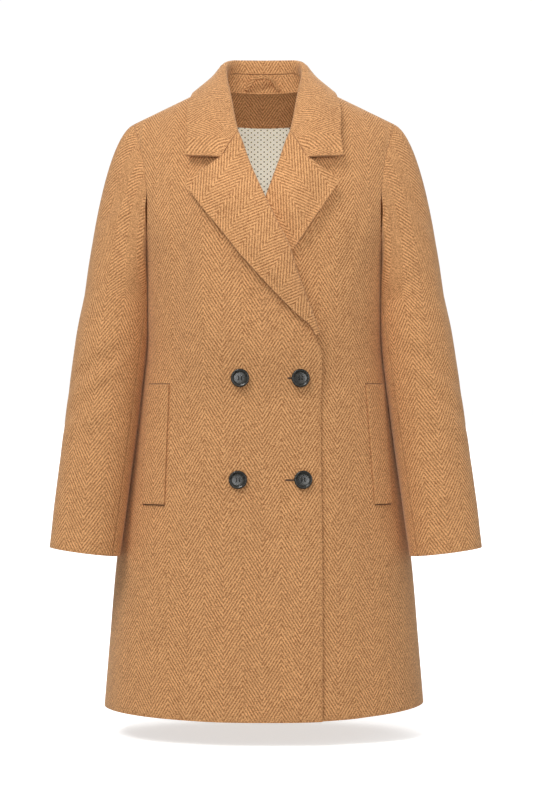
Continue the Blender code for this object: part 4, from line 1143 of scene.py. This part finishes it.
class Graph:
    """A material's node tree, built by short calls. A number or an output can feed any input."""

    def __init__(self, name):
        self.material = bpy.data.materials.new(name)
        self.material.use_nodes = True
        self.tree = self.material.node_tree
        self.shader = self.tree.nodes["Principled BSDF"]

    def feed(self, socket, value):
        if isinstance(value, bpy.types.NodeSocket):
            self.tree.links.new(value, socket)
        elif value is not None:
            socket.default_value = value

    def node(self, kind, inputs=(), **settings):
        made = self.tree.nodes.new(kind)
        for key, value in settings.items():
            setattr(made, key, value)
        for key, value in dict(inputs).items():
            self.feed(made.inputs[key], value)
        return made

    def math(self, operation, *values):
        made = self.tree.nodes.new("ShaderNodeMath")
        made.operation = operation
        for socket, value in zip(made.inputs, values):
            self.feed(socket, value)
        return made.outputs[0]

    def plus(self, a, b):
        return self.math("ADD", a, b)

    def times(self, a, b):
        return self.math("MULTIPLY", a, b)

    def span(self, value, low, high, to_low=0.0, to_high=1.0):
        """Eased change from to_low to to_high while the value goes from low to high."""
        inputs = {"Value": value, "From Min": low, "From Max": high, "To Min": to_low, "To Max": to_high}
        made = self.node("ShaderNodeMapRange", inputs, interpolation_type="SMOOTHSTEP")
        return made.outputs[0]

    def mix(self, share, a, b):
        made = self.node("ShaderNodeMix", data_type="RGBA", clamp_factor=True)
        self.feed(made.inputs[0], share)
        self.feed(made.inputs[6], (*a, 1.0) if isinstance(a, tuple) else a)
        self.feed(made.inputs[7], (*b, 1.0) if isinstance(b, tuple) else b)
        return made.outputs[2]

    def noise(self, place, scale, detail=2.0, roughness=0.5):
        inputs = {"Vector": place, "Scale": scale, "Detail": detail, "Roughness": roughness}
        return self.node("ShaderNodeTexNoise", inputs).outputs["Fac"]

    def varied(self, value, amount):
        """A value of 0 to 1 turned into a change of up to half the amount either way."""
        return self.times(self.math("SUBTRACT", value, 0.5), amount)

    def cut(self):
        """The flat cut's two coordinates, in metres, and the place on the object."""
        uv = self.node("ShaderNodeUVMap", uv_map="cut").outputs[0]
        apart = self.node("ShaderNodeSeparateXYZ", {"Vector": uv})
        place = self.node("ShaderNodeTexCoord").outputs["Object"]
        return apart.outputs[0], apart.outputs[1], place

    def finish(self, colour, roughness, height, depth, sheen=0.0, sheen_tint=(1, 1, 1), sheen_rough=0.5):
        shader = self.shader.inputs
        self.feed(shader["Base Color"], colour)
        self.feed(shader["Roughness"], roughness)
        shader["Sheen Weight"].default_value = sheen
        shader["Sheen Roughness"].default_value = sheen_rough
        shader["Sheen Tint"].default_value = (*sheen_tint, 1.0)
        bump = self.node("ShaderNodeBump", {"Strength": 1.0, "Distance": depth, "Height": height})
        self.feed(shader["Normal"], bump.outputs[0])
        return self.material


def herringbone(name, shift=0.0, light=WOOL_LIGHT, dark=WOOL_DARK):
    """Wool twill whose diagonal reverses at every column of the flat cut."""
    g = Graph(name)
    u, v, place = g.cut()
    across, along = WANDER_NOISE
    u = g.plus(u, g.varied(g.noise(place, across), WEAVE_WANDER))
    v = g.plus(v, g.varied(g.noise(place, along), WEAVE_WANDER))
    zigzag = g.math("PINGPONG", g.plus(u, shift), COLUMN_WIDTH)
    turns = g.plus(g.math("DIVIDE", v, LINE_RISE), g.math("DIVIDE", zigzag, LINE_RUN))
    wave = g.math("SINE", g.times(turns, 2 * math.pi))
    line = g.span(wave, -0.95, 0.85)
    fuzz = g.noise(place, FUZZ_NOISE, 3.0, 0.65)
    strand = g.noise(place, STRAND_NOISE, 2.0, 0.75)
    patch = g.noise(place, PATCH_NOISE, 3.0, 0.6)
    cloud = g.noise(place, CLOUD_NOISE, 3.0, 0.55)
    edge = g.node("ShaderNodeAttribute", attribute_name="edge").outputs["Fac"]
    plain = g.math("SUBTRACT", 1.0, g.times(edge, EDGE_PLAIN))
    clear = g.times(g.span(patch, 0.35, 0.65, *LINE_CLEAR), plain)
    share = g.plus(g.varied(line, clear), 0.5)
    for spread, weight in ((fuzz, FUZZ_SHARE), (strand, STRAND_SHARE), (patch, PATCH_SHARE)):
        share = g.plus(share, g.varied(spread, weight))
    colour = g.mix(g.math("MINIMUM", g.math("MAXIMUM", share, 0.0), 1.0), dark, light)
    shade = g.span(cloud, 0.25, 0.75, 0.0, CLOUD_SHARE)
    colour = g.mix(shade, colour, tuple(c * CLOUD_SHADE for c in WOOL_MEAN))
    height = g.plus(g.times(line, 0.6), g.times(fuzz, 0.5))
    return g.finish(colour, 0.92, height, WEAVE_DEPTH, 0.35, (1.0, 0.80, 0.58), 0.45)


def dotted_lining():
    """Cream lining with small dark dots in staggered rows, with a painted glow that brightens it in the
    coat's shade.
    """
    g = Graph("dotted_lining")
    u, v, place = g.cut()
    row = g.math("FLOOR", g.math("DIVIDE", v, DOT_ROW))
    aside = g.times(g.math("MODULO", g.math("ABSOLUTE", row), 2.0), 0.5)
    column = g.plus(g.math("DIVIDE", u, DOT_STEP), aside)
    off_u = g.varied(g.math("FRACT", column), DOT_STEP)
    off_v = g.varied(g.math("FRACT", g.math("DIVIDE", v, DOT_ROW)), DOT_ROW)
    far = g.math("SQRT", g.plus(g.math("POWER", off_u, 2.0), g.math("POWER", off_v, 2.0)))
    dot = g.span(far, DOT_RADIUS * 0.75, DOT_RADIUS * 1.2, 1.0, 0.0)
    ground = g.mix(g.noise(place, 30.0), LINING_CREAM, LINING_CREAM_LIGHT)
    colour = g.mix(g.times(dot, 0.9), ground, LINING_DOT)
    warp, weft = (g.math("SINE", g.times(way, 2 * math.pi / LINING_THREAD)) for way in (u, v))
    # Painted glow: the lining emits its own colour, so it looks lit where it lies in shade.
    g.feed(g.shader.inputs["Emission Color"], colour)
    g.shader.inputs["Emission Strength"].default_value = LINING_PAINTED_GLOW
    return g.finish(colour, 0.42, g.times(warp, weft), 0.00004, 0.15)


def horn():
    """Dark mottled horn, polished."""
    g = Graph("polished_horn")
    place = g.node("ShaderNodeTexCoord").outputs["Object"]
    stretched = g.node("ShaderNodeMapping", {"Vector": place, "Scale": (1.0, 3.2, 1.0)}).outputs[0]
    cloud = g.noise(stretched, 190.0, 4.0, 0.6)
    fleck = g.noise(stretched, 900.0, 2.0, 0.5)
    colour = g.mix(g.span(cloud, 0.35, 0.7), HORN_BLACK, HORN_BROWN)
    colour = g.mix(g.span(fleck, 0.62, 0.8, 0.0, 0.5), colour, HORN_FLECK)
    material = g.finish(colour, 0.24, fleck, 0.00002)
    g.shader.inputs["Specular IOR Level"].default_value = 0.35
    g.shader.inputs["Coat Weight"].default_value = 0.15
    g.shader.inputs["Coat Roughness"].default_value = 0.12
    return material


def thread(name, colour):
    """Twisted sewing thread."""
    g = Graph(name)
    place = g.node("ShaderNodeTexCoord").outputs["Object"]
    twist = g.noise(place, 2600.0, 2.0, 0.5)
    shade = g.mix(twist, tuple(c * 0.6 for c in colour), colour)
    return g.finish(shade, 0.7, twist, 0.0001, 0.1)


def pale_ground():
    """White floor that looks brighter than the light that it throws back up."""
    g = Graph("pale_ground")
    place = g.node("ShaderNodeTexCoord").outputs["Object"]
    g.finish(g.mix(g.noise(place, 3.0), GROUND_DIM, GROUND_WHITE), 1.0, g.noise(place, 220.0), 0.0002)
    g.shader.inputs["Specular IOR Level"].default_value = 0.0
    g.shader.inputs["Emission Color"].default_value = (1.0, 1.0, 1.0, 1.0)
    g.shader.inputs["Emission Strength"].default_value = GROUND_GLOW
    dim = g.node("ShaderNodeBsdfDiffuse", {"Color": (GROUND_BOUNCE,) * 3 + (1.0,)}).outputs[0]
    seen = g.node("ShaderNodeLightPath").outputs["Is Camera Ray"]
    blend = g.node("ShaderNodeMixShader", {0: seen, 1: dim, 2: g.shader.outputs[0]})
    g.tree.links.new(blend.outputs[0], g.tree.nodes["Material Output"].inputs[0])
    return g.material


# ---------------------------------------------------------------- the cloth pieces


def add_fronts(wool):
    right = front_grid()
    left = mirrored_front(right)
    for name, grid, lift in (("front_right", right, front_lift), ("front_left", left, no_lift)):
        normal = seam_normals(grid, FACE_FRONT, (0,), True)
        outer = grid + normal * lift(grid[:, :, 0], grid[:, :, 2])[:, :, None]
        add_shell(name, outer, outer - normal * WALL, body_cut(grid, -1), wool)


def add_back(wool):
    grid = back_grid()
    normal = seam_normals(grid, FACE_BACK, (0, -1), True)
    add_shell("back", grid, grid - normal * WALL, body_cut(grid, 1), wool)


def add_sleeves(wool):
    outer, normal = sleeve_grid()
    inner = outer - normal * WALL
    ring = np.concatenate([outer, outer[:, :1]], axis=1)
    around = lengths_along(ring, 1)[:, :-1]
    down = lengths_along(outer, 0)
    girth = lengths_along(ring, 1)[:, -1:]
    steps_round = 2 * ROWS_ABOVE
    spans = (
        ("top_sleeve", BACK_SEAM_STEP - steps_round, FRONT_SEAM_STEP),
        ("under_sleeve", FRONT_SEAM_STEP, BACK_SEAM_STEP),
    )
    for name, first, last in spans:
        columns = np.arange(first, last + 1)
        u = around[:, columns % steps_round] + np.where(columns < 0, -girth, 0)
        v = -np.broadcast_to(down[:, [(first + last) // 2 % steps_round]], u.shape)
        flat = np.stack([u, v], axis=-1)
        for arm, flip in (("left", 1), ("right", -1)):
            mirror = np.array([flip, 1, 1])
            outside = sleeve_piece(cuff_drifted(outer * mirror, arm), first, last)
            inside = sleeve_piece(cuff_drifted(inner * mirror, arm), first, last)
            add_shell(f"{name}_{arm}", outside, inside, flat, wool)


def add_lapels(wool):
    half_gap = SEAM_GAP / 2
    sides = (
        ("right", front_lift, False, free_on_top, LAPEL_GRAIN),
        ("left", no_lift, True, free_underneath, -LAPEL_GRAIN),
    )
    for side, lift, mirror, free, grain in sides:
        grid = lapel_grid(lift, mirror, free)
        flat = turned_cut(grid, grain)
        for name, near, far in (("facing", half_gap + LAPEL_LAYER, half_gap),
                                ("turnback", -half_gap, -half_gap - LAPEL_LAYER)):
            outer, inner = moved_out(grid, near, FACE_FRONT), moved_out(grid, far, FACE_FRONT)
            add_shell(f"{name}_{side}", outer, inner, flat, wool)


def add_collar(wool):
    stand, fall = stand_grid(), collar_grid()
    stand_normal = grid_normals(stand, FACE_FRONT)
    fall_normal = grid_normals(fall, FACE_BACK)
    fall_normal[0, STAND_INSET:-STAND_INSET] = stand_normal[-1]
    for name, grid, normal, half in (("collar_stand", stand, stand_normal, WALL / 2),
                                     ("collar_fall", fall, fall_normal, COLLAR_HALF)):
        round_neck = lengths_along(grid, 1)
        middle = grid.shape[1] // 2
        round_neck -= round_neck[:, [middle]]
        flat = np.stack([round_neck, lengths_along(grid, 0)], axis=-1)
        add_shell(name, grid + normal * half, grid - normal * half, flat, wool)


def facing_edge(x):
    """Height of the seam between the back neck facing and the lining."""
    sag = FACING_SAG * (1 - np.minimum(np.abs(x) / FACING_BOTTOM_HALF, 1) ** 2)
    return BACK_NECK_HEIGHT - BACK_FACING_DEPTH - sag


def add_inside_back(name, rows, thickness, finish):
    """A piece that hangs inside the back, from rows of x, height and depth in from its face."""
    grid = np.array([body_point(x, z, 0.0, 1) for x, z, _ in rows])
    outer = np.array([body_point(x, z, -depth, 1) for x, z, depth in rows])
    inner = np.array([body_point(x, z, -depth - thickness, 1) for x, z, depth in rows])
    add_shell(name, outer, inner, body_cut(grid, 1), finish)


def add_back_neck_facing(wool):
    rows = []
    for share in np.linspace(0, 1, FACING_ROWS):
        reach = lerp(FACING_BOTTOM_HALF, FACING_TOP_HALF, share)
        x = np.linspace(-reach, reach, LINING_COLUMNS)
        depth = lerp(WALL + INSIDE_DEPTH, FACING_TOP_DEPTH, float(ramp(share, 0.55, 1.0)))
        rows.append((x, lerp(facing_edge(x), back_top(x) + FACING_OVER_SEAM, share), depth))
    add_inside_back("back_neck_facing", rows, FACING_WALL, wool)


def add_back_lining(lining):
    """The back lining, from the facing to a little above the hem."""
    rows = []
    for z in np.linspace(HEM + LINING_ABOVE_HEM, LINING_TOP, LINING_ROWS):
        width = float(half_width(z))
        reach = width if z < ARMPIT else float(armhole_x(z, 1))
        x = across_panel(LINING_SIDE_GAP - reach, reach - LINING_SIDE_GAP, width, LINING_COLUMNS)
        top = np.minimum(facing_edge(x) - SEAM_GAP, shoulder_ridge(x) - LINING_BELOW_SHOULDER)
        share = np.clip((z - LINING_LEVEL) / (LINING_TOP - LINING_LEVEL), 0, 1)
        rows.append((x, lerp(np.minimum(z, LINING_LEVEL), top, share), WALL + INSIDE_DEPTH))
    add_inside_back("back_lining", rows, LINING_WALL, lining)


def add_hanger_loop(wool):
    """A narrow strip of cloth that bows off the stand, sewn down at both ends."""
    path = curve_through(np.array(LOOP), LOOP_STEPS)
    x, z, off = path.T
    neck_y = body_y(x, np.minimum(z, back_top(x)), 1) - WALL / 2
    middle = np.stack([x, neck_y - WALL / 2 - off, z], axis=1)
    across = unit(np.cross(unit(np.gradient(middle, axis=0)), FACE_BACK))
    share = np.linspace(-0.5, 0.5, LOOP_COLUMNS)[None, :, None]
    grid = middle[:, None] + across[:, None] * LOOP_WIDTH * share
    flat = np.stack([np.broadcast_to(share[..., 0] * LOOP_WIDTH, grid.shape[:2]),
                     lengths_along(grid, 0)], axis=-1)
    add_shell("hanger_loop", moved_out(grid, LOOP_WALL, FACE_FRONT), grid, flat, wool)


def add_welt_seams_and_shade(sewn):
    """The sewn-down ends of the welts, in dark thread that also stands in for the shade along their ends:
    partly real seam, partly painted shade.
    """
    for name, inner_top, outer_top, inner_bottom, outer_bottom in WELTS:
        lift = front_lift if inner_top < 0 else no_lift
        for end, first, last, z in (("top", inner_top, outer_top, WELT_TOP + SEAM_AND_SHADE_LINE),
                                    ("bottom", inner_bottom, outer_bottom, WELT_BOTTOM - SEAM_AND_SHADE_LINE)):
            x = np.linspace(first, last, SEAM_STEPS)
            line = front_point(x, np.full_like(x, z), lift(x, z) + SEAM_AND_SHADE_LINE)
            seam = to_mesh(tube(line, SEAM_AND_SHADE_LINE, SEAM_SIDES), name)
            link(f"{name}_{end}_seam", seam, sewn, ())


def add_pocket_welts(wool):
    for name, inner_top, outer_top, inner_bottom, outer_bottom in WELTS:
        lift = front_lift if inner_top < 0 else no_lift
        lines, under = [], []
        for share in np.linspace(0, 1, WELT_ROWS):
            z = lerp(WELT_BOTTOM, WELT_TOP, share)
            x = lerp(lerp(inner_bottom, inner_top, share), lerp(outer_bottom, outer_top, share),
                     np.linspace(0, 1, WELT_COLUMNS_ACROSS))
            z = np.full_like(x, z)
            lines.append(front_point(x, z, lift(x, z) + LAYER_GAP + WELT_WALL))
            under.append(front_point(x, z, lift(x, z) + LAYER_GAP))
        outer, inner = np.array(lines), np.array(under)
        add_shell(name, outer, inner, body_cut(inner, -1), wool)


# ---------------------------------------------------------------- buttons and buttonholes


def lathe(profile, steps):
    """A closed turned mesh about Z from a profile that starts and ends on the axis."""
    turned = bmesh.new()
    rings = []
    for radius, height in profile:
        if radius == 0:
            rings.append([turned.verts.new((0, 0, height))])
            continue
        turns = [2 * math.pi * i / steps for i in range(steps)]
        circle = [(radius * math.cos(t), radius * math.sin(t), height) for t in turns]
        rings.append([turned.verts.new(place) for place in circle])
    for low, high in zip(rings, rings[1:]):
        for i in range(steps):
            j = (i + 1) % steps
            corners = [low[i % len(low)], low[j % len(low)], high[j % len(high)], high[i % len(high)]]
            turned.faces.new(list(dict.fromkeys(corners)))
    bmesh.ops.recalc_face_normals(turned, faces=turned.faces)
    return turned


def tube(points, radius, sides=10, closed=False):
    """A tube along a path of points, with its ends closed unless the path is a loop."""
    points = np.asarray(points, dtype=float)
    step = np.roll(points, -1, 0) - np.roll(points, 1, 0) if closed else np.gradient(points, axis=0)
    along = unit(step)
    side = np.cross(along, (0.0, 0.0, 1.0))
    flat = np.linalg.norm(side, axis=1) < 0.2
    side[flat] = np.cross(along[flat], (1.0, 0.0, 0.0))
    side = unit(side)
    up = np.cross(side, along)
    made = bmesh.new()
    turns = np.linspace(0, 2 * math.pi, sides, endpoint=False)
    rings = [
        [made.verts.new(p + radius * (math.cos(t) * s + math.sin(t) * u)) for t in turns]
        for p, s, u in zip(points, side, up)
    ]
    pairs = list(zip(rings, rings[1:])) + ([(rings[-1], rings[0])] if closed else [])
    for low, high in pairs:
        for i in range(sides):
            j = (i + 1) % sides
            made.faces.new((low[i], low[j], high[j], high[i]))
    if not closed:
        made.faces.new(rings[0][::-1])
        made.faces.new(rings[-1])
    bmesh.ops.recalc_face_normals(made, faces=made.faces)
    return made


def to_mesh(shape, name):
    mesh = bpy.data.meshes.new(name)
    shape.to_mesh(mesh)
    shape.free()
    return mesh


def button_face():
    """The button's profile, smoothed through the turned solid's own points."""
    table = [(BUTTON_RADIUS * across, BUTTON_THICK * up) for across, up in BUTTON_FACE]
    curve = curve_through(np.array([(*p, 0.0) for p in table]), BUTTON_CURVE_STEPS)[:, :2]
    curve = [(max(float(r), 0.0), float(h)) for r, h in curve]
    curve[-1] = (0.0, curve[-1][1])
    return [(0.0, -SHANK), (SHANK_RADIUS, -SHANK), (SHANK_RADIUS, 0.0), (curve[0][0] * 0.6, 0.0)] + curve


def add_buttons(finish, sewn):
    for name, x, z in BUTTONS:
        lift = float(front_lift(x, z))
        seat = front_point(x, z, lift + SHANK + LAYER_GAP)
        out = Vector(seat - front_point(x, z, lift))
        place = Vector(seat)
        turn = out.to_track_quat("Z", "Y")
        disc = lathe(button_face(), BUTTON_STEPS_ROUND)
        button = link(name + "_horn", to_mesh(disc, name), finish, (name,))
        button.location, button.rotation_euler = place, turn.to_euler()
        for across in (-1, 1):
            for up in (-1, 1):
                bpy.ops.mesh.primitive_cylinder_add(
                    vertices=HOLE_SIDES, radius=HOLE_RADIUS, depth=BUTTON_THICK
                )
                cutter = bpy.context.object
                depth = HOLE_FLOOR + BUTTON_THICK / 2
                cutter.location = (across * HOLE_SPACING, up * HOLE_SPACING, depth)
                bpy.context.view_layer.update()
                cutter.data.transform(cutter.matrix_basis)
                hole = button.modifiers.new("hole", "BOOLEAN")
                hole.operation, hole.solver, hole.object = "DIFFERENCE", "EXACT", cutter
                cutter.matrix_basis.identity()
                cutter.location, cutter.rotation_euler = button.location, button.rotation_euler
                cutters.append(cutter)
            line = [(across * HOLE_SPACING, y * HOLE_SPACING, BUTTON_THICK * h) for y, h in THREAD_PATH]
            strand = tube(curve_through(np.array(line), THREAD_STEPS), THREAD_RADIUS)
            part = link(f"{name}_thread_{'a' if across < 0 else 'b'}", to_mesh(strand, name + "_thread"),
                        sewn, ())
            part.location, part.rotation_euler = place, turn.to_euler()


def add_buttonholes(sewn, dark):
    """Worked buttonholes under the buttons nearest the edge, showing beside them, each with a black tube
    in its slit as painted shade.
    """
    for name, x_from, x_to, z in BUTTONHOLES:
        turns = np.linspace(0, 2 * math.pi, BUTTONHOLE_STEPS, endpoint=False)
        half = (x_to - x_from) / 2
        x = (x_from + x_to) / 2 + half * np.clip(np.cos(turns) * 1.08, -1, 1)
        height = z + BUTTONHOLE_HALF * np.clip(np.sin(turns) * 1.6, -1, 1)
        ring = front_point(x, height, front_lift(x, height) + THREAD_OVER_CLOTH)
        link(name, to_mesh(tube(ring, BUTTONHOLE_THREAD, SEAM_SIDES, True), name), sewn, ())
        # Painted shade: a black tube along the slit stands for the shade in the opening.
        slit_x = np.linspace(x_from, x_to, SEAM_STEPS)
        slit = front_point(slit_x, np.full_like(slit_x, z), front_lift(slit_x, z) + SLIT_SHADE_OVER_CLOTH)
        slit_shade_tube = tube(slit, BUTTONHOLE_HALF * 0.8, SEAM_SIDES)
        link(name + "_slit_shade", to_mesh(slit_shade_tube, name), dark, ())


# ---------------------------------------------------------------- floor, light and camera


def add_stage(finish):
    mesh = bpy.data.meshes.new("floor")
    r = FLOOR_REACH
    mesh.from_pydata([(-r, -r, FLOOR), (r, -r, FLOOR), (r, r, FLOOR), (-r, r, FLOOR)], [], [(0, 1, 2, 3)])
    mesh.materials.append(finish)
    put("floor", mesh)


def add_lamp(name, kind, towards, place=(0.0, 0.0, 0.0), **settings):
    """A lamp whose light comes from the side that the direction points to."""
    light = bpy.data.lights.new(name, kind)
    for key, value in settings.items():
        setattr(light, key, value)
    lamp = put(name, light)
    lamp.location = place
    lamp.rotation_euler = Vector(towards).to_track_quat("Z", "Y").to_euler()


def add_sky():
    """A white sky that looks brighter than the light that it gives."""
    world = bpy.data.worlds.new("studio")
    bpy.context.scene.world = world
    world.use_nodes = True
    nodes, links = world.node_tree.nodes, world.node_tree.links
    given, seen = nodes["Background"], nodes.new("ShaderNodeBackground")
    for sky, strength in ((given, AMBIENT), (seen, SKY_SEEN)):
        sky.inputs[0].default_value = (1.0, 1.0, 1.0, 1.0)
        sky.inputs[1].default_value = strength
    path, blend = nodes.new("ShaderNodeLightPath"), nodes.new("ShaderNodeMixShader")
    links.new(path.outputs["Is Camera Ray"], blend.inputs[0])
    links.new(given.outputs[0], blend.inputs[1])
    links.new(seen.outputs[0], blend.inputs[2])
    links.new(blend.outputs[0], nodes["World Output"].inputs[0])


def add_lights():
    for name, towards, wide, strength in SUNS:
        add_lamp(name, "SUN", towards, angle=math.radians(wide), energy=strength)
    place, aim, power = NECK_LIGHT
    add_lamp("neck", "SPOT", Vector(place) - Vector(aim), place, energy=power, spot_blend=1.0,
             spot_size=math.radians(NECK_LIGHT_WIDE), shadow_soft_size=NECK_LIGHT_SIZE)


def add_camera():
    camera = bpy.data.cameras.new("camera")
    camera.sensor_fit = "VERTICAL"
    camera.sensor_height = SENSOR
    camera.sensor_width = SENSOR
    camera.lens = SENSOR * CAMERA_DISTANCE / FRAME_HEIGHT
    holder = put("camera", camera)
    holder.location = (CAMERA_X, FRONT_PLANE - CAMERA_DISTANCE, CAMERA_Z)
    holder.rotation_euler = (math.pi / 2, 0, 0)
    bpy.context.scene.camera = holder
    bpy.context.scene.view_settings.view_transform = "Standard"


def main():
    add_camera()
    wool = herringbone("herringbone_wool", BODY_SHIFT)
    side_wool = herringbone("herringbone_wool_sleeve", SLEEVE_SHIFT)
    turned_wool = herringbone("herringbone_wool_lapel", LAPEL_SHIFT)
    lining = dotted_lining()
    black, brown = thread("dark_thread", THREAD_BLACK), thread("brown_thread", THREAD_BROWN)
    add_back(wool)
    add_fronts(wool)
    add_sleeves(side_wool)
    add_lapels(turned_wool)
    add_collar(wool)
    add_back_neck_facing(wool)
    add_back_lining(lining)
    add_hanger_loop(side_wool)
    add_pocket_welts(wool)
    add_welt_seams_and_shade(brown)
    add_buttons(horn(), black)
    add_buttonholes(brown, black)
    add_stage(pale_ground())
    add_sky()
    add_lights()


main()
for cutter in cutters:
    cutter.hide_render = True
    cutter.display_type = "WIRE"
